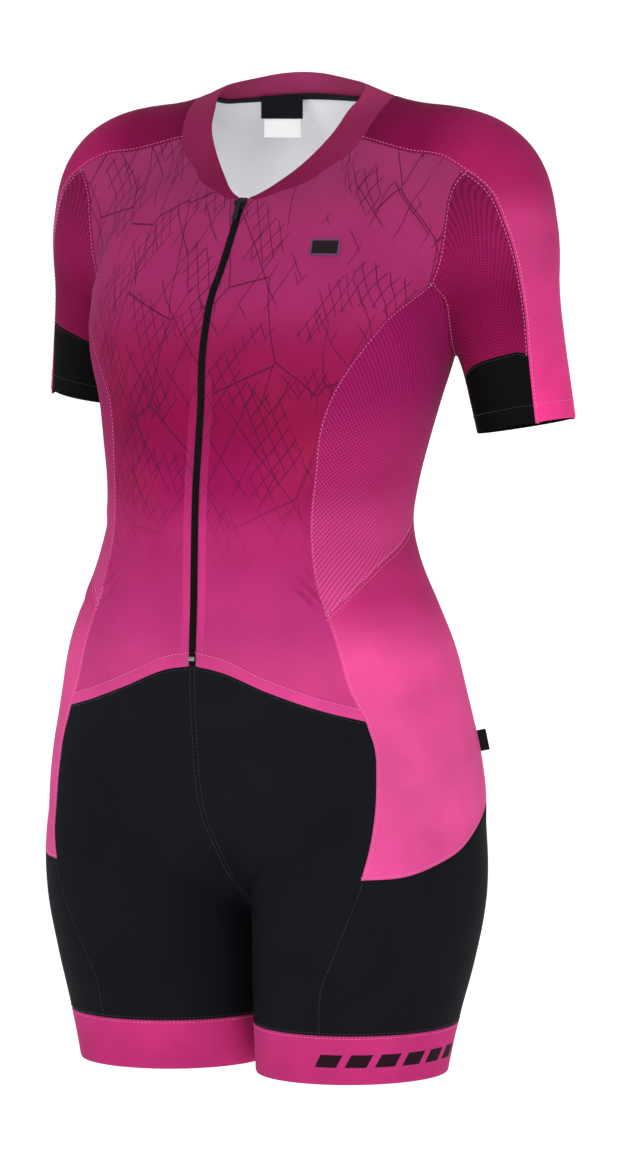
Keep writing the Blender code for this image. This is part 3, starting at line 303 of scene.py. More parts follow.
def torso_distance(p):
    half_width, widest, front, back, squareness = np.moveaxis(read_table(TORSO, p[..., 2]), -1, 0)
    along = p[..., 1] - widest
    half_depth = np.where(along < 0, widest - front, back - widest)
    below = np.maximum(0, TORSO[-1][0] - p[..., 2])
    return oval_distance(p[..., 0], along, half_width, half_depth, squareness) + 1.5 * below


def leg_distance(p, side):
    centre_x, centre_y, half_width, half_depth = np.moveaxis(read_table(LEG, p[..., 2]), -1, 0)
    above = np.maximum(0, p[..., 2] - LEG[0][0])
    oval = oval_distance(p[..., 0] * side - centre_x, p[..., 1] - centre_y, half_width, half_depth)
    return oval + 1.5 * above

ARM_LINE = read_table(ARM, np.linspace(0, 1, ARM_SAMPLES))


def nearest_on_arm(p):
    """The share along the arm line nearest to each point, and the line's row there."""
    start, end = ARM_LINE[:-1, :3], ARM_LINE[1:, :3]
    step = end - start
    t = np.clip(((p[:, None] - start) * step).sum(-1) / (step * step).sum(-1), 0, 1)
    gap = ((p[:, None] - start - t[..., None] * step) ** 2).sum(-1)
    index = gap.argmin(1)
    t = t[np.arange(len(p)), index][:, None]
    row = ARM_LINE[index] * (1 - t) + ARM_LINE[index + 1] * t
    return (index + t[:, 0]) / (ARM_SAMPLES - 1), row


def arm_distance(p):
    flat = p.reshape(-1, 3) * 1.0
    flat[:, 0] = np.abs(flat[:, 0])
    _, row = nearest_on_arm(flat)
    offset = flat - row[:, :3]
    across = np.hypot(offset[:, 0], offset[:, 2])
    return oval_distance(across, offset[:, 1], row[:, 3], row[:, 4]).reshape(p.shape[:-1])


def soft_union(a, b, softness):
    mix = np.clip(0.5 + 0.5 * (b - a) / softness, 0, 1)
    return b + (a - b) * mix - softness * mix * (1 - mix)


def smooth_step(value, low, high):
    t = np.clip((value - low) / (high - low), 0, 1)
    return t * t * (3 - 2 * t)


def body_distance(p):
    legs = soft_union(leg_distance(p, 1), leg_distance(p, -1), LEG_BLEND)
    trunk = soft_union(torso_distance(p), legs, HIP_BLEND)
    rise = smooth_step(p[..., 2], *ARMPIT_BLEND_HEIGHTS)
    blend = ARMPIT_BLEND + (SHOULDER_BLEND - ARMPIT_BLEND) * rise
    return soft_union(trunk, arm_distance(p), blend)


def slope_of(distance, p, step=0.5 * MM):
    shifts = np.eye(3) * step
    return np.stack([(distance(p + s) - distance(p - s)) / (2 * step) for s in shifts], -1)


def body_slope(p):
    return slope_of(body_distance, p)


def body_normal(p):
    slope = body_slope(p)
    return slope / np.linalg.norm(slope, axis=-1, keepdims=True)

print("waist, half width:", round(float(read_table(TORSO, -0.348)[0]) * 1000), "mm")

# %% Points on the form
def on_body(p, steps=7):
    """Slide points along the form's slope until they lie on it."""
    p = np.array(p, float)
    for _ in range(steps):
        slope = body_slope(p)
        move = body_distance(p) / np.maximum((slope ** 2).sum(-1), 0.2)
        p -= np.clip(move, -0.02, 0.02)[..., None] * slope
    return p


def hang(label, columns, rows, steps=12):
    """The grid of a label that hangs straight down, just inside the neck seam."""
    x = LABEL_CENTRE_X + np.linspace(-0.5, 0.5, columns) * label["width"]
    root = np.stack(np.broadcast_arrays(x, 0.02, LABEL_ROOT), -1)
    for _ in range(steps):
        root[:, 1] = on_body(root, 1)[:, 1]
    z = np.linspace(label["bottom"], label["top"], rows)[:, None]
    y = root[:, 1] - label["depth"]
    return np.stack(np.broadcast_arrays(x[None, :], y[None, :], z), -1)


def in_armpit(p, steps=40):
    """Slide points into the crease that the form has between arm and trunk."""
    def lead(q):
        return torso_distance(q) - arm_distance(q)
    p = np.array(p, float)
    for _ in range(steps):
        slope = slope_of(lead, p)
        move = lead(p) / np.maximum((slope ** 2).sum(-1), 0.2)
        p = on_body(p - 0.5 * np.clip(move, -0.01, 0.01)[..., None] * slope, 2)
    return p

# %% [markdown]
# ## The seams
# A pattern cutter thinks in seams. Each one is a short list of points in millimetres on the
# wearer's left, drawn as a smooth curve on the form. Both panels beside a seam share its
# points, so they meet without a gap or a step, and the right side is a mirror image.

# %% Seam tables
ZIP_HALF_WIDTH = 3.1 * MM      # the cloth's edge runs on a little under the tape
HEM_BAND_HEIGHT = 12.5 * MM
GRIPPER_TOP, GRIPPER_BOTTOM = -0.771, -0.813
CUFF_HEIGHT_SHARE, CUFF_TOP_DIP = 0.175, 0.07
SLEEVE_END = {"left": 0.935, "right": 0.893}
CUFF_TOP_EVEN, CUFF_LOW_EVEN = 0.15, 0.5
STRIPE_BOW = 0.040
CROTCH_Y, CROTCH_Z = -0.053, -0.690
HIP_CENTRE_START, HIP_CENTRE_END = -0.48, -0.66
COLLAR_SEAM_FRONT = [(16.5, -88.7, -74.5), (32.5, -83, -67.5), (50.7, -74.4, -60.3),
                     (65, -62.5, -48.4), (81, -52, -36), (89, -44, -24.5)]
COLLAR_SEAM_SHOULDER = [(89, -44, -24.5), (94.5, -23.6, -1.7), (95, -6, 7),
                        (90, 9, 8.5), (80, 19, 8.5)]
COLLAR_SEAM_BACK = [(80, 19, 8.5), (55, 23, 11), (30, 23.5, 12.5), (0, 23.5, 13.5)]
NECKLINE = [(4, -89.5, -73.8), (11, -86.5, -70.5), (30.8, -70.2, -54.8), (49, -54, -34.6),
            (61.4, -40.3, -15.2), (66.5, -26, 1.5), (71, -13, 13.5), (68, -2, 21.5),
            (51, 6, 28.5), (26, 9.7, 32), (0, 10.6, 32.8)]
YOKE_FRONT = [(89, -44, -24.5), (133, -44.3, -35.5), (165, -41.3, -41), (184, -39, -52),
              (203, -36, -66), (217.8, -32.2, -96.4), (227.1, -26.3, -132.2),
              (231.6, -20.4, -168.1), (233.5, -19, -199), (237.4, -16.7, -241.7),
              (240, -15, -270), (243, -14, -300)]
YOKE_BACK = [(80, 19, 8.5), (112, 42, -4), (145, 52, -18), (178, 54, -38), (203, 52, -68),
             (218, 48, -99), (228, 46, -133), (233, 45, -168), (237, 45, -200),
             (241.5, 46, -242), (244, 46, -270), (247, 46, -300)]
ARMHOLE_FRONT = [(184, -39, -52), (176, -49, -70), (173.5, -55, -92), (170, -57.5, -120),
                 (164.5, -61.5, -145)]
ARMHOLE_UNDER = [(164.5, -61.5, -145), (169.5, -50, -157), (167.7, -39.9, -175.1),
                 (163.8, -24.8, -196.6), (159.3, -10.2, -205.7), (155.1, 2.4, -205.3),
                 (151.5, 12.7, -200.2), (147.8, 22.6, -191.4), (143.5, 33.9, -177.1)]
ARMHOLE_BACK = [(143.5, 33.9, -177.1), (139.6, 51, -145.3), (140.5, 57, -122),
                (152, 61, -85), (178, 54, -38)]
SIDE_FRONT = [(112, -145, -420), (104, -145, -400), (98, -145, -372.8), (95, -142, -333),
              (97, -139, -301.5), (100, -137, -266.5), (106.6, -133.1, -242.5),
              (121.1, -126.8, -214.2), (135.1, -114.6, -190.2), (145.4, -100.7, -172.2),
              (155.8, -81.8, -157.6), (164.5, -61.5, -145)]
SIDE_BACK_UPPER = [(128, -18, -346), (134, -10, -310), (140, -1, -270), (144, 12, -226),
                   (143.5, 33.9, -177.1)]
SIDE_BACK_LOWER = [(193, -4, -582), (189, -12, -530), (182, -14, -470), (160, -14, -410),
                   (128, -18, -346)]
MESH_LOWER = [(112, -145, -420), (127, -126.8, -399.5), (137.4, -96.1, -377.7),
              (137, -65.6, -365), (134, -41.5, -354), (128, -18, -346)]
WAIST_BACK = [(0, 44, -338), (60, 38, -338), (100, 16, -340), (128, -18, -346)]
TIP_TO_CORNER = [(145, -137, -506), (132, -142, -480), (122, -144, -447), (112, -145, -420)]
JERSEY_HEM = [(0, -175.4, -463.2), (23, -174.7, -466.6), (71, -167, -484),
              (117, -151, -499), (145, -137, -506)]
HIP_FRONT = [(149, -152, -637), (154, -145, -607), (156, -140, -578), (156, -138, -553),
             (153, -135, -530), (145, -137, -506)]
HIP_LOWER = [(149, -152, -637), (178.9, -125.4, -634.9), (193.7, -95.6, -626.3),
             (199, -64.4, -615.9), (199, -35, -600), (193, -4, -582)]
HIP_LOWER_BACK = [(0, 62, -565), (70, 60, -567), (140, 40, -572), (193, -4, -582)]
LEG_FRONT = [(149, -152, -637), (140, -154, -660.7), (122, -155, -702), (108.7, -153.2, -732),
             (103, -147, -771)]
LEG_BACK = [(193, -4, -582), (196, -8, -640), (186, -4, -700), (172, -2, -771)]
CENTRE_FRONT = [(0, -175.4, -463.2), (0, -171, -532), (0, -157, -590), (0, -120, -643),
                (0, -90, -665), (0, -53, -690)]
CENTRE_BACK = [(0, 62, -565), (0, 44, -610), (0, 6, -650), (0, -24, -670), (0, -53, -690)]
INSEAM = [(0, -53, -690), (4.5, -53.5, -705), (5, -55, -735), (5, -57, -771)]
# Twice as many cuts as the solids have, which makes the curves smoother.
CUTS = {"collar_front": 5, "collar_shoulder": 4, "collar_back": 3, "collar_width": 2,
        "yoke_body": 4, "yoke_sleeve": 6, "cuff": 2,
        "armhole_front": 5, "armhole_under": 8, "armhole_back": 5,
        "side_front": 11, "tip": 3, "hip_front": 6, "mesh_lower": 8, "waist_back": 7,
        "hem_band": 1, "leg": 9, "crotch_front": 10, "crotch_back": 4, "inseam": 5,
        "hip_lower": 8, "gripper": 2}
CUTS = {key: 2 * value for key, value in CUTS.items()}
CUTS["hem_band"] = 1

# %% Seams as curves
def smooth_line(points, samples=160):
    """A dense curve through a few points, on the form."""
    points = np.array(points, float)
    gaps = np.linalg.norm(np.diff(points, axis=0), axis=1)
    keys = np.concatenate([[0], np.cumsum(gaps)])
    rows = np.column_stack([keys, points])
    return on_body(read_table([tuple(row) for row in rows], np.linspace(0, keys[-1], samples)))


def divide(line, cuts):
    """Divide a curve into equal lengths, and give the points between them."""
    gaps = np.linalg.norm(np.diff(line, axis=0), axis=1)
    keys = np.concatenate([[0], np.cumsum(gaps)])
    at = np.linspace(0, keys[-1], cuts + 1)
    points = np.column_stack([np.interp(at, keys, line[:, k]) for k in range(3)])
    inner = on_body(points[1:-1])
    return np.concatenate([points[:1], inner, points[-1:]])


def seam(rows, cuts):
    return divide(smooth_line(np.array(rows) * MM), cuts)


def chain(*pieces):
    """Join seams end to end."""
    joined = [pieces[0]]
    for piece in pieces[1:]:
        joined.append(piece[1:])
    return np.concatenate(joined)

# %% [markdown]
# ## The panels
# A panel is the cloth between four seams. Its inner points are blended from all four sides,
# as angles round the trunk or the arm, and are then slid onto the form. That gives a neat
# grid of cells, which a laid-on pattern and a stitch line can follow.

# %% Laying out round the trunk or the arm
def trunk_centre(z):
    """The middle that a panel is laid out round: the trunk's, and lower down the leg's."""
    drift = smooth_step(-z, -HIP_CENTRE_START, -HIP_CENTRE_END)
    leg_x = read_table(LEG, z)[..., 0]
    return leg_x * drift, np.full_like(z, CROTCH_Y)


def to_trunk(p, facing):
    """Angle round the middle, height and radius. Angles lie within half a turn of facing."""
    centre_x, centre_y = trunk_centre(p[..., 2])
    x, y = p[..., 0] - centre_x, p[..., 1] - centre_y
    angle = np.arctan2(x, -y)
    angle = facing + (angle - facing + math.pi) % (2 * math.pi) - math.pi
    return np.stack([angle, p[..., 2], np.hypot(x, y)], -1)


def from_trunk(c):
    centre_x, centre_y = trunk_centre(c[..., 1])
    x = centre_x + c[..., 2] * np.sin(c[..., 0])
    y = centre_y - c[..., 2] * np.cos(c[..., 0])
    return np.stack([x, y, c[..., 1]], -1)


def arm_frame(share):
    """A point on the arm line, and the direction across it that starts upwards or outwards."""
    at = read_table(ARM, share)[..., :3]
    step = 0.01
    run = read_table(ARM, share + step)[..., :3] - read_table(ARM, share - step)[..., :3]
    run = run / np.linalg.norm(run, axis=-1, keepdims=True)
    out = np.stack([-run[..., 2], np.zeros_like(share), run[..., 0]], -1)
    return at, out / np.linalg.norm(out, axis=-1, keepdims=True)


def to_arm(p, facing):
    """Angle round the arm line from the front, share along it and radius."""
    shape = p.shape[:-1]
    share, _ = nearest_on_arm(p.reshape(-1, 3))
    share = share.reshape(shape)
    at, out = arm_frame(share)
    offset = p - at
    outwards = (offset * out).sum(-1)
    angle = np.arctan2(outwards, -offset[..., 1])
    angle = facing + (angle - facing + math.pi) % (2 * math.pi) - math.pi
    return np.stack([angle, share, np.hypot(outwards, offset[..., 1])], -1)


def from_arm(c):
    at, out = arm_frame(c[..., 1])
    turned = np.sin(c[..., 0])[..., None] * out
    front = np.cos(c[..., 0])[..., None] * np.array([0, -1, 0])
    return at + c[..., 2][..., None] * (turned + front)

# %% Filling a panel
def fill(bottom, top, start, end, layout="trunk", facing=0.0, start_facing=None, end_facing=None,
         fade=1):
    """A grid of points between four seams: rows go from bottom to top, columns from start to end.

    The inner points are blended from the four sides as angles, heights and radii, and are
    then moved onto the form. A higher fade keeps the shape of the start and end seams closer
    to them.
    """
    to, back = (to_trunk, from_trunk) if layout == "trunk" else (to_arm, from_arm)
    b, t = to(bottom, facing), to(top, facing)
    s = to(start, facing if start_facing is None else start_facing)
    e = to(end, facing if end_facing is None else end_facing)
    b[0], b[-1], t[0], t[-1] = s[0], e[0], s[-1], e[-1]
    for edge in (b, t):
        edge[:, 0] = np.unwrap(edge[:, 0])
    u = np.linspace(0, 1, len(bottom))[None, :, None]
    v = np.linspace(0, 1, len(start))[:, None, None]
    rows = (1 - v) * b[None] + v * t[None]
    start_bow = s[:, None] - (1 - v) * s[0] - v * s[-1]
    end_bow = e[:, None] - (1 - v) * e[0] - v * e[-1]
    grid = on_body(back(rows + (1 - u)**fade * start_bow + u**fade * end_bow))
    grid[0], grid[-1], grid[:, 0], grid[:, -1] = bottom, top, start, end
    return grid

# %% Cutting the half pattern
def mirrored(grid):
    return grid * np.array([-1, 1, 1])


def whole(half):
    """A grid that starts on the middle plane, joined with its mirror image."""
    return np.concatenate([mirrored(half[:, :0:-1]), half], axis=1)


def cut_line_at(line, shares):
    """Cut a dense seam that runs down the arm where it passes each share of the arm line."""
    reached, _ = nearest_on_arm(line)
    marks = [int(np.argmax(reached >= share)) for share in shares]
    bounds = [0] + marks
    return [line[a:b + 1] for a, b in zip(bounds[:-1], bounds[1:])]


def part_of(line, point):
    """The index of a dense seam's point nearest to a given point."""
    return int(np.linalg.norm(line - point, axis=1).argmin())


def sleeve_ring(front_edge, back_edge, share, turns, dip=0.0):
    """The sleeve's ring at one share of the arm line, from the front edge round underneath.

    The turns are each point's part of the way round. The dip is how much further along the
    arm the ring runs on its inner side.
    """
    first = to_arm(front_edge[None], 0.0)[0]
    last = to_arm(back_edge[None], -math.pi)[0]
    t = turns
    ring = np.stack([first[0] + (last[0] - first[0]) * t, share + dip * np.sin(math.pi * t)**4,
                     first[2] + (last[2] - first[2]) * t], -1)
    line = on_body(from_arm(ring))
    line[0], line[-1] = front_edge, back_edge
    return line


def leg_ring(start, end, facing, cuts):
    """Part of the leg's ring at the gripper's top, between two seams' ends."""
    first, last = to_trunk(start[None], facing)[0], to_trunk(end[None], facing)[0]
    t = np.linspace(0, 1, cuts * 8 + 1)
    ring = np.stack([first[0] + (last[0] - first[0]) * t, np.full_like(t, GRIPPER_TOP),
                     first[2] + (last[2] - first[2]) * t], -1)
    line = on_body(from_trunk(ring))
    line[:, 2] = GRIPPER_TOP
    line[0], line[-1] = start, end
    return divide(line, cuts)

# %% Seams of one half
def half_seams():
    """Every seam on the wearer's left, divided so that the panels on both sides share points."""
    s = {}
    s["collar_front"] = seam(COLLAR_SEAM_FRONT, CUTS["collar_front"])
    s["collar_shoulder"] = seam(COLLAR_SEAM_SHOULDER, CUTS["collar_shoulder"])
    s["collar_back"] = seam(COLLAR_SEAM_BACK, CUTS["collar_back"])
    strip = np.array([(ZIP_HALF_WIDTH, s["collar_front"][0][1], s["collar_front"][0][2]),
                      s["collar_front"][0]])
    s["top_strip"] = np.stack([on_body(strip)[0], s["collar_front"][0]])
    for key, rows in (("front", YOKE_FRONT), ("back", YOKE_BACK)):
        line = smooth_line(np.array(rows) * MM)
        line[0] = s["collar_shoulder"][0 if key == "front" else -1]
        armhole_rows = ARMHOLE_FRONT if key == "front" else ARMHOLE_BACK
        corner = np.array(armhole_rows[0 if key == "front" else -1]) * MM
        split = part_of(line, corner)
        s["yoke_" + key + "_body"] = divide(line[:split + 1], CUTS["yoke_body"])
        s["yoke_" + key + "_arm"] = line[split:]
    s["armhole_front"] = seam(ARMHOLE_FRONT, CUTS["armhole_front"])
    s["armhole_under"] = seam(ARMHOLE_UNDER, CUTS["armhole_under"])
    s["armhole_back"] = seam(ARMHOLE_BACK, CUTS["armhole_back"])
    start, end = CUTS["armhole_under"] // 4, CUTS["armhole_back"] // 5 + 1
    s["armhole_under"][start:] = in_armpit(s["armhole_under"][start:])
    s["armhole_back"][1:end] = in_armpit(s["armhole_back"][1:end])
    s["armhole_back"][0] = s["armhole_under"][-1]
    s["armhole_front"][0] = s["yoke_front_body"][-1]
    s["armhole_back"][-1] = s["yoke_back_body"][-1]
    s["side_front"] = seam(SIDE_FRONT, CUTS["side_front"])
    s["side_back_upper"] = seam(SIDE_BACK_UPPER, CUTS["side_front"])
    s["side_back_upper"][-1] = s["armhole_under"][-1]
    rows = CUTS["hip_front"] + CUTS["hem_band"] + CUTS["tip"]
    s["side_back_lower"] = seam(SIDE_BACK_LOWER, rows)
    s["mesh_lower"] = seam(MESH_LOWER, CUTS["mesh_lower"])
    s["waist_back"] = seam(WAIST_BACK, CUTS["waist_back"])
    s["hip_front"] = seam(HIP_FRONT, CUTS["hip_front"])
    s["hip_lower"] = seam(HIP_LOWER, CUTS["hip_lower"])
    s["hip_lower_back"] = seam(HIP_LOWER_BACK, CUTS["waist_back"])
    s["leg_front"] = seam(LEG_FRONT, CUTS["leg"])
    s["leg_back"] = seam(LEG_BACK, CUTS["leg"])
    s["crotch_front"] = seam(CENTRE_FRONT, CUTS["crotch_front"])
    s["crotch_back"] = seam(CENTRE_BACK, CUTS["crotch_back"])
    s["inseam"] = seam(INSEAM, CUTS["inseam"])
    meet = on_body(np.array([[0.0, CROTCH_Y, CROTCH_Z]]))[0]
    s["crotch_front"][-1] = s["crotch_back"][-1] = s["inseam"][0] = meet
    count = CUTS["collar_front"] + 1 + CUTS["yoke_body"]
    s["jersey_hem"] = seam(JERSEY_HEM, count)
    s["crotch_front"][0] = s["jersey_hem"][0]
    s["leg_front"][-1][2] = s["leg_back"][-1][2] = s["inseam"][-1][2] = GRIPPER_TOP
    tip_line = smooth_line(np.array(TIP_TO_CORNER) * MM)
    gaps = np.cumsum(np.linalg.norm(np.diff(tip_line, axis=0), axis=1))
    band_end = int(np.argmax(gaps >= HEM_BAND_HEIGHT)) + 1
    s["band_side"] = tip_line[[0, band_end]]
    s["tip"] = divide(tip_line[band_end:], CUTS["tip"])
    s["hip_front"][-1] = s["jersey_hem"][-1] = s["band_side"][0]
    s["mesh_lower"][0] = s["side_front"][0] = s["tip"][-1]
    lift = np.linspace(0, 1, count + 1)[:, None]
    raised = s["jersey_hem"] + np.array([0, 0, HEM_BAND_HEIGHT]) * (1 - lift)
    s["band_top"] = on_body(raised + (s["tip"][0] - s["jersey_hem"][-1]) * lift)
    s["band_top"][-1] = s["tip"][0]
    for key in ("jersey_hem", "band_top"):
        s[key][0, 0] = ZIP_HALF_WIDTH
    s["jersey_hem"][0] = on_body(s["jersey_hem"][:1])[0]
    s["crotch_front"][0] = s["jersey_hem"][0] * np.array([0, 1, 1])
    rows = CUTS["tip"] + CUTS["side_front"] + CUTS["armhole_front"]
    heights = np.linspace(s["band_top"][0][2], s["top_strip"][0][2], 60)
    front_y = read_table(TORSO, heights)[:, 2]
    zip_line = on_body(np.stack([np.full(60, ZIP_HALF_WIDTH), front_y, heights], -1))
    zip_line[:, 0] = ZIP_HALF_WIDTH
    s["zip"] = divide(zip_line, rows)
    s["zip"][0], s["zip"][-1] = s["band_top"][0], s["top_strip"][0]
    return s

seams = half_seams()


def run_of(line):
    """Length of a line of points, in whole millimetres."""
    return round(float(np.linalg.norm(np.diff(line, axis=0), axis=1).sum()) * 1000)


print(len(seams), "seams; side seam", run_of(seams["side_front"]), "mm")

# %% Panels of the trunk
PANELS = {}                    # each panel's grid of points
LOOKS = {}                     # and the finish it is cut from


def cloth(name, grid, look, closed=False, **options):
    """Keep a panel's grid, and the name of the cloth it is cut from."""
    PANELS[name] = (grid, closed)
    LOOKS[name] = look


def pair(name, grid, material, **options):
    """The same panel for the wearer's left and right."""
    cloth(name + "_left", grid, material, **options)
    cloth(name + "_right", mirrored(grid), material, **options)


def build_trunk(seams):
    """The jersey: two fronts with their hems, two mesh sides, the back, and the hips."""
    front_top = chain(seams["top_strip"], seams["collar_front"], seams["yoke_front_body"])
    outer = chain(seams["tip"], seams["side_front"], seams["armhole_front"][::-1])
    front = fill(seams["band_top"], front_top, seams["zip"], outer)
    pair("front", front, PRINT_CLOTH)
    band = np.stack([seams["jersey_hem"], seams["band_top"]])
    pair("front_hem", band, PRINT_CLOTH)
    mesh_side = fill(seams["mesh_lower"], seams["armhole_under"], seams["side_front"],
                     seams["side_back_upper"], facing=math.pi / 2)
    pair("side_mesh", mesh_side, MESH_CLOTH, gap=ARMPIT_GAP)
    back_outer = chain(seams["side_back_upper"], seams["armhole_back"])
    back_middle = seam([(0, 44, -338), (0, 78, -215), (0, 91, -115), (0, 62, -32), (0, 23.5, 13.5)],
                       len(back_outer) - 1)
    back_top = chain(seams["collar_back"][::-1], seams["yoke_back_body"])
    back_half = fill(seams["waist_back"], back_top, back_middle, back_outer, facing=math.pi)
    cloth("back", whole(back_half), BACK_CLOTH)
    hip_start = chain(seams["hip_front"], seams["band_side"], seams["tip"])
    hip = fill(seams["hip_lower"], seams["mesh_lower"], hip_start, seams["side_back_lower"],
               facing=math.pi / 2)
    pair("hip", hip, PINK_CLOTH)
    seat_middle = seam([(0, 62, -565), (0, 58, -470), (0, 44, -338)],
                       len(seams["side_back_lower"]) - 1)
    seat = fill(seams["hip_lower_back"], seams["waist_back"], seat_middle,
                seams["side_back_lower"], facing=math.pi)
    cloth("lower_back", whole(seat), PINK_CLOTH)

PRINT_CLOTH, MESH_CLOTH, BACK_CLOTH, PINK_CLOTH = "print", "mesh", "back", "pink"
SHORTS_CLOTH, GRIPPER_CLOTH, ARMPIT_GAP = "shorts", "gripper", 0
build_trunk(seams)
print(len(PANELS), "panels on the trunk")

# %% Panels of the shorts and sleeves
def build_shorts(seams):
    """The shorts: a front, an outer side and a back for each leg, and a gripper at each hem."""
    inner, front_corner, back_corner = (seams[key][-1] for key in ("inseam", "leg_front", "leg_back"))
    front_low = leg_ring(inner, front_corner, 0.0, len(seams["jersey_hem"]) - 1)
    side_low = leg_ring(front_corner, back_corner, math.pi / 2, CUTS["hip_lower"])
    back_low = leg_ring(back_corner, inner, math.pi, CUTS["waist_back"])
    front_inner = chain(seams["crotch_front"], seams["inseam"])[::-1]
    front_outer = chain(seams["leg_front"][::-1], seams["hip_front"])
    front = fill(front_low, seams["jersey_hem"], front_inner, front_outer, facing=0.0)
    pair("shorts_front", front, SHORTS_CLOTH)
    side = fill(side_low, seams["hip_lower"], seams["leg_front"][::-1], seams["leg_back"][::-1],
                facing=math.pi / 2)
    pair("shorts_side", side, SHORTS_CLOTH)
    back_inner = chain(seams["crotch_back"], seams["inseam"])[::-1]
    back = fill(back_low[::-1], seams["hip_lower_back"], back_inner, seams["leg_back"][::-1],
                facing=math.pi)
    pair("shorts_back", back, SHORTS_CLOTH)
    ring = chain(front_low, side_low, back_low)[:-1]
    rows = []
    for height in np.linspace(GRIPPER_BOTTOM, GRIPPER_TOP, CUTS["gripper"] + 1):
        row = ring.copy()
        row[:, 2] = height
        fixed = on_body(row)
        fixed[:, 2] = height
        rows.append(on_body(fixed, 2))
    rows[-1] = ring
    pair("gripper", np.array(rows), GRIPPER_CLOTH, closed=True)


def build_sleeve(seams, side):
    """One sleeve with its cuff, and the shoulder stripe that runs from collar to cuff."""
    end = SLEEVE_END[side]
    shares = (end - CUFF_HEIGHT_SHARE, end)
    front_parts = cut_line_at(seams["yoke_front_arm"], shares)
    back_parts = cut_line_at(seams["yoke_back_arm"], shares)
    front = [divide(line, CUTS[key]) for line, key in zip(front_parts, ("yoke_sleeve", "cuff"))]
    back = [divide(line, CUTS[key]) for line, key in zip(back_parts, ("yoke_sleeve", "cuff"))]
    armhole = chain(seams["armhole_front"], seams["armhole_under"], seams["armhole_back"])
    even = np.linspace(0, 1, len(armhole))

    def spread(evenness):
        return (1 - evenness) * turns + evenness * even

    turns = np.unwrap(to_arm(armhole, -math.pi / 2)[:, 0])
    turns = (turns - turns[0]) / (turns[-1] - turns[0])
    cuff_top = sleeve_ring(front[0][-1], back[0][-1], shares[0], spread(CUFF_TOP_EVEN),
                           CUFF_TOP_DIP)
    cuff_low = sleeve_ring(front[1][-1], back[1][-1], shares[1], spread(CUFF_LOW_EVEN))
    turned = -math.pi / 2
    sleeve = fill(cuff_top, armhole, front[0][::-1], back[0][::-1], layout="arm", facing=turned,
                  start_facing=0.0, end_facing=-math.pi, fade=3)
    cuff = fill(cuff_low, cuff_top, front[1][::-1], back[1][::-1], layout="arm", facing=turned,
                start_facing=0.0, end_facing=-math.pi)
    yoke_front = chain(seams["yoke_front_body"], *front)[::-1]
    yoke_back = chain(seams["yoke_back_body"], *back)[::-1]
    t = np.linspace(0, 1, 33)[:, None]
    low = on_body((1 - t) * yoke_front[0] + t * yoke_back[0]
                  + np.array([STRIPE_BOW, 0, 0]) * (4 * t * (1 - t)))
    shared = to_arm(low, math.pi / 2)
    shared[:, 1] = end
    low = on_body(from_arm(shared))
    low[0], low[-1] = yoke_front[0], yoke_back[0]
    yoke = fill(divide(low, CUTS["collar_shoulder"]), seams["collar_shoulder"], yoke_front,
                yoke_back, layout="arm", facing=math.pi / 2)
    flip = (lambda grid: grid) if side == "left" else mirrored
    cloth("sleeve_" + side, flip(sleeve), MESH_CLOTH)
    cloth("cuff_" + side, flip(cuff), SHORTS_CLOTH)
    cloth("shoulder_stripe_" + side, flip(yoke), PINK_CLOTH)


def build_collar(seams):
    """The collar band, from the zip round the back of the neck to the zip again."""
    seam_side = chain(seams["collar_front"], seams["collar_shoulder"], seams["collar_back"])[::-1]
    edge = seam(NECKLINE, len(seam_side) - 1)[::-1]
    rows = [seam_side + (edge - seam_side) * t for t in np.linspace(0, 1, CUTS["collar_width"] + 1)]
    half = on_body(np.array(rows))
    half[0] = seam_side
    half[:, 0, 0] = 0.0
    cloth("collar", whole(half), PINK_CLOTH)
    return half

build_shorts(seams)
for side in ("left", "right"):
    build_sleeve(seams, side)
collar_half = build_collar(seams)
edge = chain(seams["jersey_hem"][:1], seams["zip"])
zip_middle = edge * np.array([0, 1, 1])
print(len(PANELS), "panels in all, and a zip", run_of(zip_middle), "mm long")
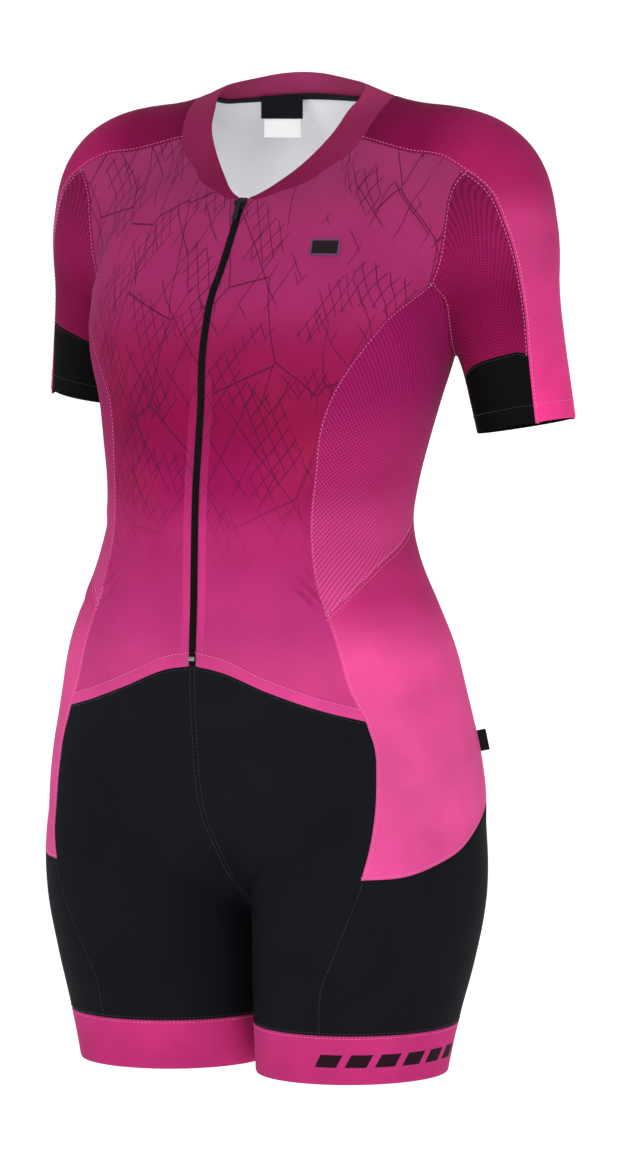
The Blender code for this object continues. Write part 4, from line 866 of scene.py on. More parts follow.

# %% [markdown]
# ## Creases
# Tight knit creases only where it is pushed together: beside the point of the hip panel, in
# the armpits, over the crotch and in the small of the back. Simulation would find folds of
# its own, so each crease is given as a line on the form. Its section is a soft
# trough with a ridge beside it, and its width wavers along its length, as real ones do.

# %% Crease lines
# Points in millimetres, then width and depth. The last word says which sides have it.
CREASES = [
    ([(86, -157, -380), (103, -152, -398), (118, -146, -416)], 2.1, 2.8, "both"),
    ([(83, -158, -391), (97, -154, -403), (111, -149, -415)], 2.0, 2.4, "both"),
    ([(97, -154, -376), (101, -153, -385), (106, -152, -394)], 1.9, 2.0, "both"),
    ([(118, -140, -431), (140, -122, -424), (158, -96, -412)], 6.0, 1.1, "both"),
    ([(108, -141, -344), (125, -124, -350), (138, -92, -366)], 7.0, 1.1, "both"),
    ([(160, -62, -154), (140, -106, -174), (116, -130, -188)], 5.0, 1.5, "both"),
    ([(158, -70, -146), (140, -98, -140), (118, -112, -142)], 5.5, 1.2, "both"),
    ([(176, -45, -162), (196, -38, -152), (214, -33, -134)], 5.0, 1.4, "both"),
    ([(172, -40, -184), (193, -36, -188), (213, -30, -178)], 5.0, 1.2, "left"),
    ([(170, -38, -200), (190, -34, -212), (215, -28, -210)], 4.5, 1.0, "right"),
    ([(120, -52, -52), (150, -60, -76), (166, -60, -112)], 7.0, 1.1, "both"),
    ([(10, -108, -656), (46, -130, -640), (84, -144, -620)], 5.0, 1.7, "both"),
    ([(10, -88, -668), (50, -120, -672), (86, -137, -668)], 5.0, 1.5, "both"),
    ([(0, -158, -588), (32, -158, -596), (52, -148, -624), (46, -132, -650)], 6.5, 1.3, "both"),
    ([(18, -166, -545), (48, -163, -560), (66, -158, -590)], 9.0, 0.9, "left"),
    ([(60, -160, -628), (72, -155, -684), (74, -148, -742)], 9.0, 0.9, "both"),
    ([(0, 46, -330), (50, 43, -325), (92, 27, -320)], 8.0, 2.0, "both"),
    ([(12, 54, -300), (62, 50, -296), (106, 25, -288)], 8.0, 1.6, "left"),
    ([(4, 60, -278), (52, 58, -270), (100, 32, -262)], 8.0, 1.3, "right"),
    ([(26, 30, -640), (72, 45, -652), (122, 36, -658)], 7.0, 2.0, "both"),
    ([(136, 50, -152), (112, 74, -182), (82, 82, -216)], 7.0, 1.6, "both"),
]
MIRROR = np.array([-1, 1, 1])
crease_lines = []
for rows, width, depth, sides in CREASES:
    line = on_body(smooth_line(np.array(rows) * MM, 60))
    if sides in ("left", "both"):
        crease_lines.append((line, width * MM, depth * MM))
    if sides in ("right", "both"):
        crease_lines.append((line * MIRROR, width * 1.15 * MM, depth * 0.8 * MM))
print(len(crease_lines), "creases")


# %% Relief of the creases
def crease_relief(points, normals):
    """How far each point is pushed in or out by the creases near it."""
    relief = np.zeros(points.shape[:-1])
    for number, (line, width, depth) in enumerate(crease_lines):
        reach = 4 * width
        near = ((points > line.min(0) - reach) & (points < line.max(0) + reach)).all(-1)
        if not near.any():
            continue
        offset = points[near][:, None] - line
        gap = (offset**2).sum(-1)
        index = gap.argmin(1)
        along = np.gradient(line, axis=0)[index]
        across = np.cross(along / np.linalg.norm(along, axis=-1, keepdims=True), normals[near])
        signed = (offset[np.arange(len(index)), index] * across).sum(-1)
        t = index / (len(line) - 1)
        wide = width * (1 + 0.22 * np.sin(7 * t + number))
        beyond = np.clip((np.sqrt(gap.min(1)) - np.abs(signed)) / width, 0, 3)
        taper = np.sin(math.pi * np.clip(t, 0.02, 0.98)) ** 0.8 * np.exp(-beyond**2)
        trough = -np.exp(-((signed / wide) ** 2))
        ridge = 0.6 * np.exp(-(((signed - 1.8 * wide) / (1.2 * wide)) ** 2))
        relief[near] += depth * taper * (trough + ridge)
    return relief


# %% [markdown]
# ## Thin shells
# The solids' walls are thicker than real knit, for the sake of the physics. Here each panel
# becomes a shell 0.9 mm thick: an outer face, a lining face, and a rim. A line of points
# close to each edge lets the cloth dip softly into its seam, which is what makes two panels
# read as sewn together rather than painted on.

# %% Refining a grid
CELL = 4.5 * MM
FINE_CELL = 2.2 * MM           # for the fronts, which have the finest creases
EDGE = 1.3 * MM
EDGE_DIP = 0.45 * MM
KNIT_THICKNESS = 0.9 * MM


def refine(grid, cell=CELL):
    """Fill a grid in along smooth curves, with an extra line of points beside each edge."""
    for axis in (0, 1):
        lines = np.moveaxis(grid, axis, 0)
        gaps = np.linalg.norm(np.diff(lines, axis=0), axis=-1).mean(1)
        keys = np.concatenate([[0], np.cumsum(gaps)])
        count = max(2, math.ceil(keys[-1] / cell))
        inner = np.linspace(0, keys[-1], count + 1)[1:-1]
        at = np.unique(np.concatenate([[0, EDGE, keys[-1] - EDGE, keys[-1]], inner]))
        rows = [tuple(row) for row in np.column_stack([keys, lines.reshape(len(lines), -1)])]
        lines = read_table(rows, at).reshape(len(at), *lines.shape[1:])
        grid = np.moveaxis(lines, 0, axis)
    return grid


def area_of(sheet):
    """Area of a grid of points, in square metres."""
    along, up = np.diff(sheet, axis=1)[:-1], np.diff(sheet, axis=0)[:, :-1]
    return float(np.linalg.norm(np.cross(along, up), axis=-1).sum())


def lengths(grid, axis):
    """Length along the grid's rows or columns, measured from their middles."""
    steps = np.linalg.norm(np.diff(grid, axis=axis), axis=-1)
    run = np.cumsum(steps, axis=axis)
    run = np.concatenate([np.zeros_like(np.take(run, [0], axis=axis)), run], axis=axis)
    return run - np.take(run, [run.shape[axis] // 2], axis=axis)


print("cells of", CELL * 1000, "mm")


# %% Building a shell
def build_object(name, points, faces, looks, face_looks=None, uv=None, arm=None):
    """A mesh object from points and faces, with its finishes, UV map and arm attribute."""
    data = bpy.data.meshes.new(name)
    data.from_pydata([tuple(p) for p in points], [], faces)
    for look in looks:
        data.materials.append(look)
    if face_looks is not None:
        data.polygons.foreach_set("material_index", face_looks)
    data.polygons.foreach_set("use_smooth", [True] * len(data.polygons))
    if uv is not None:
        loops = np.zeros(len(data.loops), np.int32)
        data.loops.foreach_get("vertex_index", loops)
        layer = data.uv_layers.new(name="cut")
        layer.data.foreach_set("uv", uv[loops].astype(np.float32).ravel())
    if arm is not None:
        data.attributes.new("arm", "FLOAT", "POINT").data.foreach_set("value", arm.astype(np.float32))
    data.set_sharp_from_angle(angle=math.radians(55))
    thing = bpy.data.objects.new(name, data)
    bpy.context.scene.collection.objects.link(thing)
    return thing


def shell_faces(rows, columns, closed):
    """Faces of an outer sheet, an inner sheet and the rim between them."""
    count = rows * columns
    spans = columns if closed else columns - 1
    outer, inner, rim = [], [], []
    for r in range(rows - 1):
        for c in range(spans):
            d = (c + 1) % columns
            ring = (r * columns + c, r * columns + d, (r + 1) * columns + d, (r + 1) * columns + c)
            outer.append(ring)
            inner.append(tuple(k + count for k in ring[::-1]))
    border = [(c, (c + 1) % columns) for c in range(spans)]
    border += [((rows - 1) * columns + (c + 1) % columns, (rows - 1) * columns + c) for c in range(spans)]
    if not closed:
        border += [(r * columns + columns - 1, (r + 1) * columns + columns - 1) for r in range(rows - 1)]
        border += [((r + 1) * columns, r * columns) for r in range(rows - 1)]
    for a, b in border:
        rim.append((a + count, b + count, b, a))
    return outer, inner, rim


SHELLS = {}                    # each shell's fine grid and normals, for the stitches


def build_shell(name, looks, lift=0.0, uv=None, cell=CELL):
    """Dress one panel: a refined, creased shell in its outer look and its lining."""
    grid, closed = PANELS[name]
    if closed:
        grid = np.concatenate([grid, grid[:, :1]], axis=1)
    fine = refine(grid, cell)
    normals = body_normal(fine)
    across, up = lengths(fine, 1), lengths(fine, 0)
    uv = np.stack([across, up], -1) if uv is None else uv(fine)
    from_edge = np.minimum(up - up[:1], up[-1:] - up)
    if not closed:
        from_edge = np.minimum(from_edge, np.minimum(across - across[:, :1], across[:, -1:] - across))
    sink = EDGE_DIP * np.clip(1 - from_edge / EDGE, 0, 1)
    outer = fine + normals * (lift + crease_relief(fine, normals) - sink)[..., None]
    area = area_of(outer)
    size = (float((across[:, -1] - across[:, 0]).max()), float((up[-1] - up[0]).max()))
    SHELLS[name] = (outer, normals, size, area)
    inner = outer - normals * KNIT_THICKNESS
    share = nearest_on_arm(np.abs(fine.reshape(-1, 3)) * [1, 0, 0] + fine.reshape(-1, 3) * [0, 1, 1])[0]
    share = share.reshape(fine.shape[:-1])
    if closed:
        outer, inner, uv, share = (part[:, :-1] for part in (outer, inner, uv, share))
    rows, columns = outer.shape[:2]
    parts = shell_faces(rows, columns, closed)
    r, c = rows // 2, columns // 2
    turn = np.cross(outer[r, c] - outer[r, c - 1], outer[r, c] - outer[r - 1, c])
    if turn @ normals[r, c] < 0:
        parts = [[face[::-1] for face in part] for part in parts]
    faces = parts[0] + parts[1] + parts[2]
    face_looks = [0] * len(parts[0]) + [1] * len(parts[1]) + [0] * len(parts[2])
    points = np.concatenate([outer.reshape(-1, 3), inner.reshape(-1, 3)])
    uv = np.tile(uv.reshape(-1, 2), (2, 1))
    return build_object(name + "_cloth", points, faces, looks, face_looks, uv, np.tile(share.ravel(), 2))


# %% [markdown]
# ## Finishes: knit
# Cycling suits are warp knits of polyester and elastane. The colour is a dye print pressed
# into the face of a white cloth, so the inside stays white where the suit is printed, and
# black cloth is black right through. From a step away the loops are too small to see. They
# only take the shine off, and leave a faint sheen where the cloth turns away from us.

# %% Shared steps of the knit finishes
LOOP = 1.3 * MM                # real loops are about 0.4 mm; drawn coarser so that they show


def loops_bump(tree, strength=0.25, size=LOOP, distance=0.25 * MM):
    """Small rows of loops as a bump, on the panel's own cut."""
    cut = add(tree, "ShaderNodeUVMap", {"uv_map": "cut"})
    scaled = add(tree, "ShaderNodeMapping", _0=cut.outputs[0], Scale=(1 / size, 0.7 / size, 1))
    cells = add(tree, "ShaderNodeTexVoronoi", {"voronoi_dimensions": "2D"}, Vector=scaled.outputs[0],
                Scale=1.0, Randomness=0.25)
    return add(tree, "ShaderNodeBump", Strength=strength, Distance=distance,
               Height=cells.outputs["Distance"]).outputs[0]


def dye_gradient(tree, value, stops):
    """Colour that changes along a value, from a list of (value, hex code)."""
    low, high = stops[0][0], stops[-1][0]
    share = add(tree, "ShaderNodeMapRange", Value=value, From_Min=low, From_Max=high)
    ramp = add(tree, "ShaderNodeValToRGB", Fac=share.outputs[0])
    band = ramp.color_ramp
    band.interpolation = "EASE"
    while len(band.elements) < len(stops):
        band.elements.new(0.5)
    for element, (at, code) in zip(band.elements, stops):
        element.position = (at - low) / (high - low)
        element.color = linear(code)
    return ramp.outputs[0]


def uneven(tree, colour, amount=0.10, size=0.05):
    """Dye never takes quite evenly: a wide, weak cloudiness over the colour."""
    where = add(tree, "ShaderNodeTexCoord")
    cloud = add(tree, "ShaderNodeTexNoise", Vector=where.outputs["Object"], Scale=1 / size, Detail=3.0)
    swing = add(tree, "ShaderNodeMapRange", Value=cloud.outputs[0], From_Min=0.3, From_Max=0.7,
                To_Min=1 - amount, To_Max=1 + amount)
    return add(tree, "ShaderNodeVectorMath", {"operation": "SCALE"}, Vector=colour,
               Scale=swing.outputs[0]).outputs[0]


def knit_surface(tree, colour, roughness=0.82, sheen=0.02, normal=None):
    """The knit's shader: dull, with a weak sheen of fine fibre."""
    shade = add(tree, "ShaderNodeBsdfPrincipled", Base_Color=colour, Roughness=roughness,
                Sheen_Weight=sheen, Sheen_Roughness=0.45)
    shade.inputs["Specular IOR Level"].default_value = 0.06
    tree.links.new(loops_bump(tree) if normal is None else normal, shade.inputs["Normal"])
    add(tree, "ShaderNodeOutputMaterial", Surface=shade.outputs[0])


def height_of(tree):
    """Height on the suit, read from the piece's own coordinates."""
    where = add(tree, "ShaderNodeTexCoord")
    return add(tree, "ShaderNodeSeparateXYZ", Vector=where.outputs["Object"]).outputs["Z"]


# %% Plain knits
def dyed_knit(name, stops, roughness=0.82, sheen=0.02, by="height", cloud=0.10):
    made, tree = start_material(name)
    value = height_of(tree) if by == "height" else add(
        tree, "ShaderNodeAttribute", {"attribute_name": "arm"}).outputs["Fac"]
    knit_surface(tree, uneven(tree, dye_gradient(tree, value, stops), cloud), roughness, sheen)
    return made


# Warp knit, dye printed: dull face, colour fading from hot pink at the hips to plum above.
hip_knit = dyed_knit("Pink printed warp knit", [(-0.64, "#D64A8C"), (-0.55, "#D84E8E"),
                                               (-0.46, "#DC4A8C"), (-0.40, "#B82C6C"), (-0.34, "#981A52")])
# The same knit on the shoulders: plum at the collar, hot pink at the hem of the sleeve.
stripe_knit = dyed_knit("Pink shoulder warp knit", [(0.10, "#5F0632"), (0.24, "#78083E"), (0.36, "#A01C58"),
                                                    (0.48, "#BF3774"), (0.66, "#D23A80"), (0.92, "#E63A86")],
                        by="arm")
back_knit = dyed_knit("Plum printed warp knit", [(-0.34, "#A91A5E"), (-0.22, "#8A124F"), (0.0, "#64083A")])
hem_knit = dyed_knit("Pink hem elastic", [(-0.51, "#D4458A"), (-0.46, "#C43C7C")])
gripper_knit = dyed_knit("Pink gripper elastic", [(-0.82, "#B22A6A"), (-0.77, "#BA2E70")])


def dashed_gripper(name, code):
    """The wearer's left gripper, with a plain row of dark slanted dashes printed on it."""
    made = dyed_knit(name, [(-0.82, "#B22A6A"), (-0.77, "#BA2E70")])
    tree = made.node_tree
    shade = next(node for node in tree.nodes if node.type == "BSDF_PRINCIPLED")
    ground = shade.inputs["Base Color"].links[0].from_socket
    where = add(tree, "ShaderNodeTexCoord")
    centred = add(tree, "ShaderNodeMapping", _0=where.outputs["Object"], Location=(-0.087, 0.058, 0))
    split = add(tree, "ShaderNodeSeparateXYZ", Vector=centred.outputs[0])
    forwards = add(tree, "ShaderNodeMath", {"operation": "MULTIPLY"}, _0=split.outputs["Y"], _1=-1.0)
    angle = add(tree, "ShaderNodeMath", {"operation": "ARCTAN2"}, _0=split.outputs["X"],
                _1=forwards.outputs[0])
    lean = add(tree, "ShaderNodeMath", {"operation": "MULTIPLY_ADD"}, _0=split.outputs["Z"], _1=-6.0,
               _2=angle.outputs[0])
    repeat = add(tree, "ShaderNodeMath", {"operation": "PINGPONG"}, _0=lean.outputs[0], _1=DASH_STEP / 2)
    dash = add(tree, "ShaderNodeMath", {"operation": "LESS_THAN"}, _0=repeat.outputs[0], _1=DASH_STEP * 0.36)
    first = add(tree, "ShaderNodeMath", {"operation": "GREATER_THAN"}, _0=angle.outputs[0], _1=DASH_SPAN[0])
    last = add(tree, "ShaderNodeMath", {"operation": "LESS_THAN"}, _0=angle.outputs[0], _1=DASH_SPAN[1])
    row = add(tree, "ShaderNodeMath", {"operation": "COMPARE"}, _0=split.outputs["Z"], _1=DASH_HEIGHT,
              _2=5.5 * MM)
    shown = dash.outputs[0]
    for limit in (first, last, row):
        kept = add(tree, "ShaderNodeMath", {"operation": "MULTIPLY"}, _0=shown, _1=limit.outputs[0])
        shown = kept.outputs[0]
    both = add(tree, "ShaderNodeMix", {"data_type": "RGBA"}, _0=shown, _6=ground, _7=linear(code))
    tree.links.new(both.outputs[2], shade.inputs["Base Color"])
    return made


DASH_STEP = math.radians(17)             # from one dash to the next, round the leg
DASH_SPAN = (math.radians(9), math.radians(118))
DASH_HEIGHT = -0.7925
left_gripper_knit = dashed_gripper("Pink gripper elastic with dashes", "#241019")
# Thicker elastane knit, dyed black in the yarn: nearly no colour, more sheen.
black_knit = dyed_knit("Black elastane warp knit", [(-0.82, "#0F1115"), (-0.50, "#121418")], 0.8, 0.0)
cuff_knit = dyed_knit("Black elastane cuff knit", [(-0.30, "#070809"), (-0.20, "#08090B")], 0.8, 0.0)
# The unprinted inside of the same cloths.
white_knit = dyed_knit("White knit reverse", [(-0.82, "#F4F4F8"), (0.04, "#F4F4F8")], 0.8, 0.0, cloud=0.02)
collar_knit = dyed_knit("Plum collar knit", [(-0.08, "#7A1241"), (-0.02, "#84204A"), (0.04, "#9A345F")])
print(len(bpy.data.materials), "materials so far")

# %% [markdown]
# ### Mesh
# The sides and sleeves are an open knit: rows of small holes, each row shifted by half a step.
# Real holes would cost hundreds of thousands of faces, and through them we would only see the
# unlit inside. So a cell pattern on the panel's cut sinks them and paints them darker: painted shade.

# %% Mesh knit
HOLE_PITCH = 3.6 * MM


def mesh_knit(name, stops, by="height", depth=0.5):
    made, tree = start_material(name)
    value = height_of(tree) if by == "height" else add(
        tree, "ShaderNodeAttribute", {"attribute_name": "arm"}).outputs["Fac"]
    colour = uneven(tree, dye_gradient(tree, value, stops), 0.06)
    cut = add(tree, "ShaderNodeUVMap", {"uv_map": "cut"})
    turned = add(tree, "ShaderNodeMapping", _0=cut.outputs[0], Rotation=(0, 0, math.radians(45)),
                 Scale=(1.35 / HOLE_PITCH, 1.35 / HOLE_PITCH, 1))
    cells = add(tree, "ShaderNodeTexVoronoi", {"voronoi_dimensions": "2D"}, Vector=turned.outputs[0],
                Scale=1.0, Randomness=0.0)
    hole = add(tree, "ShaderNodeMapRange", {"interpolation_type": "SMOOTHSTEP"},
               Value=cells.outputs["Distance"], From_Min=0.20, From_Max=0.42)
    # Painted shade: each hole is darkened by depth, standing for the unlit inside seen through it.
    dark = add(tree, "ShaderNodeMapRange", Value=hole.outputs[0], To_Min=1 - depth, To_Max=1.12)
    tinted = add(tree, "ShaderNodeVectorMath", {"operation": "SCALE"}, Vector=colour,
                 Scale=dark.outputs[0])
    bump = add(tree, "ShaderNodeBump", Strength=0.5, Distance=0.4 * MM, Height=hole.outputs[0])
    knit_surface(tree, tinted.outputs[0], 0.85, 0.02, bump.outputs[0])
    return made


side_mesh = mesh_knit("Plum to pink knitted mesh", [
    (-0.42, "#CE4685"), (-0.36, "#C03A78"), (-0.30, "#A52461"), (-0.22, "#901457"), (-0.15, "#8A1251")])
sleeve_mesh = mesh_knit("Plum knitted sleeve mesh", [
    (0.35, "#761242"), (0.50, "#88144C"), (0.62, "#780A3E"), (0.80, "#840E45")],
                        by="arm", depth=0.4)
print("holes every", HOLE_PITCH * 1000, "mm")

# %% [markdown]
# ### The printed chest
# The chest carries a line design over a gradient. The lines here are three nets, a wide one of
# uneven cells and two finer, even ones, that thin out towards the waist. A cell texture's
# distance to the nearest border gives lines of an even width for any cell size. It is laid
# out on the cut, as metres from the zip and height, so it runs straight across the panel.

# %% Printed chest knit
# Each net: the size of its cells, the width of its lines, their strength, how irregular it is,
# and how many degrees it is turned.
NETS = [(58 * MM, 0.55 * MM, 0.8, 0.95, 20), (22 * MM, 0.50 * MM, 0.75, 0.0, 38),
        (8.5 * MM, 0.45 * MM, 0.8, 0.0, 52)]
printed_knit, tree = start_material("Printed chest warp knit")
cut = add(tree, "ShaderNodeUVMap", {"uv_map": "cut"})
split = add(tree, "ShaderNodeSeparateXYZ", Vector=cut.outputs[0])
ground = dye_gradient(tree, split.outputs["Y"], [
    (-0.47, "#BE3A78"), (-0.42, "#B02E70"), (-0.36, "#A82564"), (-0.31, "#921150"), (-0.26, "#850C40"),
    (-0.21, "#8C1448"), (-0.14, "#9E2A62"), (-0.03, "#902E5C")])
warm = add(tree, "ShaderNodeTexNoise", {"noise_dimensions": "2D"}, Vector=cut.outputs[0], Scale=9.0,
           Detail=1.0)
warm_share = add(tree, "ShaderNodeMapRange", Value=warm.outputs[0], From_Min=0.52, From_Max=0.75, To_Max=0.35)
low_only = dye_gradient(tree, split.outputs["Y"], [(-0.39, "#000000"), (-0.31, "#FFFFFF"),
                                                   (-0.20, "#B0B0B0"), (-0.12, "#303030")])
warm_where = add(tree, "ShaderNodeMath", {"operation": "MULTIPLY"}, _0=warm_share.outputs[0], _1=low_only)
ground = add(tree, "ShaderNodeMix", {"data_type": "RGBA"}, _0=warm_where.outputs[0], _6=ground,
             _7=linear("#A0283F")).outputs[2]
fade_down = add(tree, "ShaderNodeMapRange", {"interpolation_type": "SMOOTHSTEP"},
                Value=split.outputs["Y"], From_Min=-0.40, From_Max=-0.27)
# The lines lie thicker on the wearer's right.
to_right = add(tree, "ShaderNodeMapRange", Value=split.outputs["X"], From_Min=-0.06, From_Max=0.06,
               To_Min=-0.07, To_Max=0.02)
for number, (size, width, strength, irregular, turned) in enumerate(NETS):
    squeezed = add(tree, "ShaderNodeMapping", _0=cut.outputs[0], Scale=(1 / size, 0.62 / size, 1))
    placed = add(tree, "ShaderNodeMapping", _0=squeezed.outputs[0], Location=(number * 3.7, number * 1.3, 0),
                 Rotation=(0, 0, math.radians(turned)))
    net = add(tree, "ShaderNodeTexVoronoi", {"voronoi_dimensions": "2D", "feature": "DISTANCE_TO_EDGE"},
              Vector=placed.outputs[0], Scale=1.0, Randomness=irregular)
    line = add(tree, "ShaderNodeMapRange", Value=net.outputs["Distance"], From_Min=width / size * 0.4,
               From_Max=width / size * 1.2, To_Min=strength, To_Max=0.0)
    patches = add(tree, "ShaderNodeTexNoise", {"noise_dimensions": "2D"}, Vector=cut.outputs[0],
                  Scale=13.0 + 5 * number, Detail=0.0)
    fuller = add(tree, "ShaderNodeMath", {"operation": "SUBTRACT"}, _0=patches.outputs[0],
                 _1=to_right.outputs[0])
    here = add(tree, "ShaderNodeMapRange", {"interpolation_type": "SMOOTHSTEP"}, Value=fuller.outputs[0],
               From_Min=(0.30, 0.47, 0.54)[number], From_Max=(0.44, 0.53, 0.60)[number])
    shown = add(tree, "ShaderNodeMath", {"operation": "MULTIPLY"}, _0=line.outputs[0], _1=here.outputs[0])
    shown = add(tree, "ShaderNodeMath", {"operation": "MULTIPLY"}, _0=shown.outputs[0],
                _1=fade_down.outputs[0])
    ground = add(tree, "ShaderNodeMix", {"data_type": "RGBA"}, _0=shown.outputs[0], _6=ground,
                 _7=linear("#3F1030")).outputs[2]
# Beside the zip the cloth is turned under and lies double; near the waist this raised strip is painted
# lighter, a painted highlight.
from_middle = add(tree, "ShaderNodeMath", {"operation": "ABSOLUTE"}, _0=split.outputs["X"])
beside = add(tree, "ShaderNodeMapRange", {"interpolation_type": "SMOOTHSTEP"}, Value=from_middle.outputs[0],
             From_Min=10.5 * MM, From_Max=11.5 * MM, To_Min=0.5, To_Max=0.0)
near_waist = add(tree, "ShaderNodeMapRange", Value=split.outputs["Y"], From_Min=-0.20, From_Max=-0.40)
placket_highlight = add(tree, "ShaderNodeMath", {"operation": "MULTIPLY"}, _0=beside.outputs[0],
                   _1=near_waist.outputs[0])
ground = add(tree, "ShaderNodeMix", {"data_type": "RGBA"}, _0=placket_highlight.outputs[0], _6=ground,
             _7=linear("#CE3A80")).outputs[2]
knit_surface(tree, uneven(tree, ground, 0.08))
print(len(NETS), "nets of lines; the widest cells are", NETS[0][0] * 1000, "mm")

# %% [markdown]
# ## Dressing the panels
# Each panel gets its outer finish and its lining. The fronts keep a cut measured from the
# zip, so the print runs on from left to right. Every shell replaces its solid, rides on the
# suit, and gets a cut listed a little smaller than it measures now.

# %% Shells of all panels
def from_zip(fine):
    """The cut of a front: metres from the zip along the cloth, and height."""
    away = lengths(fine, 1)
    away = away - away[:, :1] + ZIP_HALF_WIDTH
    return np.stack([away * np.sign(fine[len(fine) // 2, -1, 0]), fine[..., 2]], -1)


OUTER = {"print": printed_knit, "mesh": side_mesh, "back": back_knit, "pink": hip_knit,
         "shorts": black_knit, "gripper": gripper_knit}
STRETCH = 0.95                 # the cut is this much shorter each way than the worn panel
sheets = []


def declare(piece, node, size, area, body="suit"):
    """Say what a cloth piece stands for, what it moves with, and how it was cut."""
    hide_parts(node)
    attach(piece, body)
    flat = (round(size[0] * STRETCH, 4), round(size[1] * STRETCH, 4))
    cut_area = round(min(area * STRETCH**2, flat[0] * flat[1]), 5)
    sheets.append((node, round(flat[0] * 1000), round(flat[1] * 1000), round(cut_area * 1e4)))


for name in PANELS:
    look = OUTER[LOOKS[name]]
    lining = white_knit
    lift, cut_of, cell = 0.0, None, CELL
    if name.startswith("front_hem"):
        look, lift = hem_knit, 0.25 * MM
    elif name.startswith("front"):
        cut_of, cell = from_zip, FINE_CELL
    elif name.startswith("sleeve"):
        look = sleeve_mesh
    elif name.startswith("shoulder_stripe"):
        look = stripe_knit
    elif name.startswith("cuff"):
        look = lining = cuff_knit
    elif name == "collar":
        look = lining = collar_knit
    elif name.startswith("shorts"):
        lining = black_knit
    elif name.startswith("gripper"):
        lining = gripper_knit
        look = left_gripper_knit if name.endswith("left") else gripper_knit
    piece = build_shell(name, [look, lining], lift, cut_of, cell)
    declare(piece, name, SHELLS[name][2], SHELLS[name][3])
for row in sheets:
    print("cut of %s: %d x %d mm, %d cm2" % row)

# %% [markdown]
# ## Stitches
# Flat seams are held by rows of short stitches. A tree of geometry nodes lays them out: it
# takes the seam lines as bare edges, puts points along them at an even pitch, and sets a
# small thread bead on each point, turned along the line. A tree is handy here, because one
# number changes the pitch of every seam at once.

# %% Lines for the stitches
def beside_edge(name, side, distance):
    """A line on a finished shell, at a distance from one of its edges."""
    outer, normals, _, _ = SHELLS[name]
    line, inner, up = {"bottom": (outer[0], outer[3], normals[0]), "top": (outer[-1], outer[-4], normals[-1]),
                       "start": (outer[:, 0], outer[:, 3], normals[:, 0]),
                       "end": (outer[:, -1], outer[:, -4], normals[:, -1])}[side]
    into = inner - line
    into /= np.maximum(np.linalg.norm(into, axis=-1, keepdims=True), 1e-6)
    return line + into * distance * MM + up * (EDGE_DIP * 0.75)


PINK_ROWS = [("front_hem", "top", 1.2), ("side_mesh", "start", 1.6),
             ("side_mesh", "bottom", 2.2), ("side_mesh", "end", 2.2), ("hip", "top", 2.4),
             ("hip", "bottom", 2.4), ("hip", "start", 2.4), ("hip", "end", 2.4),
             ("sleeve", "top", 2.4), ("sleeve", "start", 2.0), ("sleeve", "end", 2.0),
             ("shoulder_stripe", "start", 2.2), ("shoulder_stripe", "end", 2.2),
             ("shoulder_stripe", "bottom", 15.0), ("gripper", "top", 2.0)]
BLACK_ROWS = [("shorts_side", "start", 2.4), ("shorts_side", "end", 2.4), ("shorts_front", "bottom", 2.2),
              ("shorts_front", "start", 2.2), ("shorts_side", "bottom", 2.2), ("cuff", "top", 2.0),
              ("cuff", "bottom", 15.0), ("shorts_back", "bottom", 2.2), ("shorts_front", "top", 2.2)]


def edges_object(name, lines):
    """Bare lines of points joined by edges, as the input of a tree."""
    points, edges = [], []
    for line in lines:
        start = len(points)
        points += [tuple(p) for p in line]
        edges += [(start + k, start + k + 1) for k in range(len(line) - 1)]
    data = bpy.data.meshes.new(name)
    data.from_pydata(points, edges, [])
    thing = bpy.data.objects.new(name, data)
    bpy.context.scene.collection.objects.link(thing)
    return thing


def stitch_lines(rows):
    return [beside_edge(name + side, edge, distance) for name, edge, distance in rows
            for side in ("_left", "_right")]


print(len(PINK_ROWS) * 2 + len(BLACK_ROWS) * 2, "rows of stitches")


# %% Tree of beads along lines
def beads_tree(name):
    """Puts small rounded beads along bare edges, turned along them."""
    group = bpy.data.node_groups.new(name, "GeometryNodeTree")
    face = group.interface
    face.new_socket("Geometry", in_out="INPUT", socket_type="NodeSocketGeometry")
    for label, value in (("Pitch", 3.4 * MM), ("Length", 2.5 * MM), ("Width", 0.7 * MM), ("Height", 0.5 * MM),
                         ("Slant", 0.0)):
        face.new_socket(label, in_out="INPUT", socket_type="NodeSocketFloat").default_value = value
    face.new_socket("Finish", in_out="INPUT", socket_type="NodeSocketMaterial")
    face.new_socket("Geometry", in_out="OUTPUT", socket_type="NodeSocketGeometry")
    given = group.nodes.new("NodeGroupInput").outputs
    line = add(group, "GeometryNodeMeshToCurve", _0=given["Geometry"])
    spots = add(group, "GeometryNodeResampleCurve", {"mode": "LENGTH"}, Curve=line.outputs[0],
                Length=given["Pitch"])
    tangent = add(group, "GeometryNodeInputTangent")
    lying = add(group, "FunctionNodeAlignRotationToVector", {"axis": "X"}, Vector=tangent.outputs[0])
    slanted = add(group, "FunctionNodeRotateRotation", {"rotation_space": "LOCAL"}, Rotation=lying.outputs[0])
    turn = add(group, "FunctionNodeAxisAngleToRotation", Angle=given["Slant"])
    group.links.new(turn.outputs[0], slanted.inputs["Rotate By"])
    bead = add(group, "GeometryNodeMeshUVSphere", Segments=6, Rings=4, Radius=0.5)
    size = add(group, "ShaderNodeCombineXYZ", _0=given["Length"], _1=given["Width"], _2=given["Height"])
    placed = add(group, "GeometryNodeInstanceOnPoints", Points=spots.outputs[0], Instance=bead.outputs[0],
                 Rotation=slanted.outputs[0], Scale=size.outputs[0])
    real = add(group, "GeometryNodeRealizeInstances", _0=placed.outputs[0])
    smooth = add(group, "GeometryNodeSetShadeSmooth", _0=real.outputs[0])
    dressed = add(group, "GeometryNodeSetMaterial", _0=smooth.outputs[0], Material=given["Finish"])
    out = group.nodes.new("NodeGroupOutput")
    group.links.new(dressed.outputs[0], out.inputs[0])
    return group


beads = beads_tree("beads along a line")


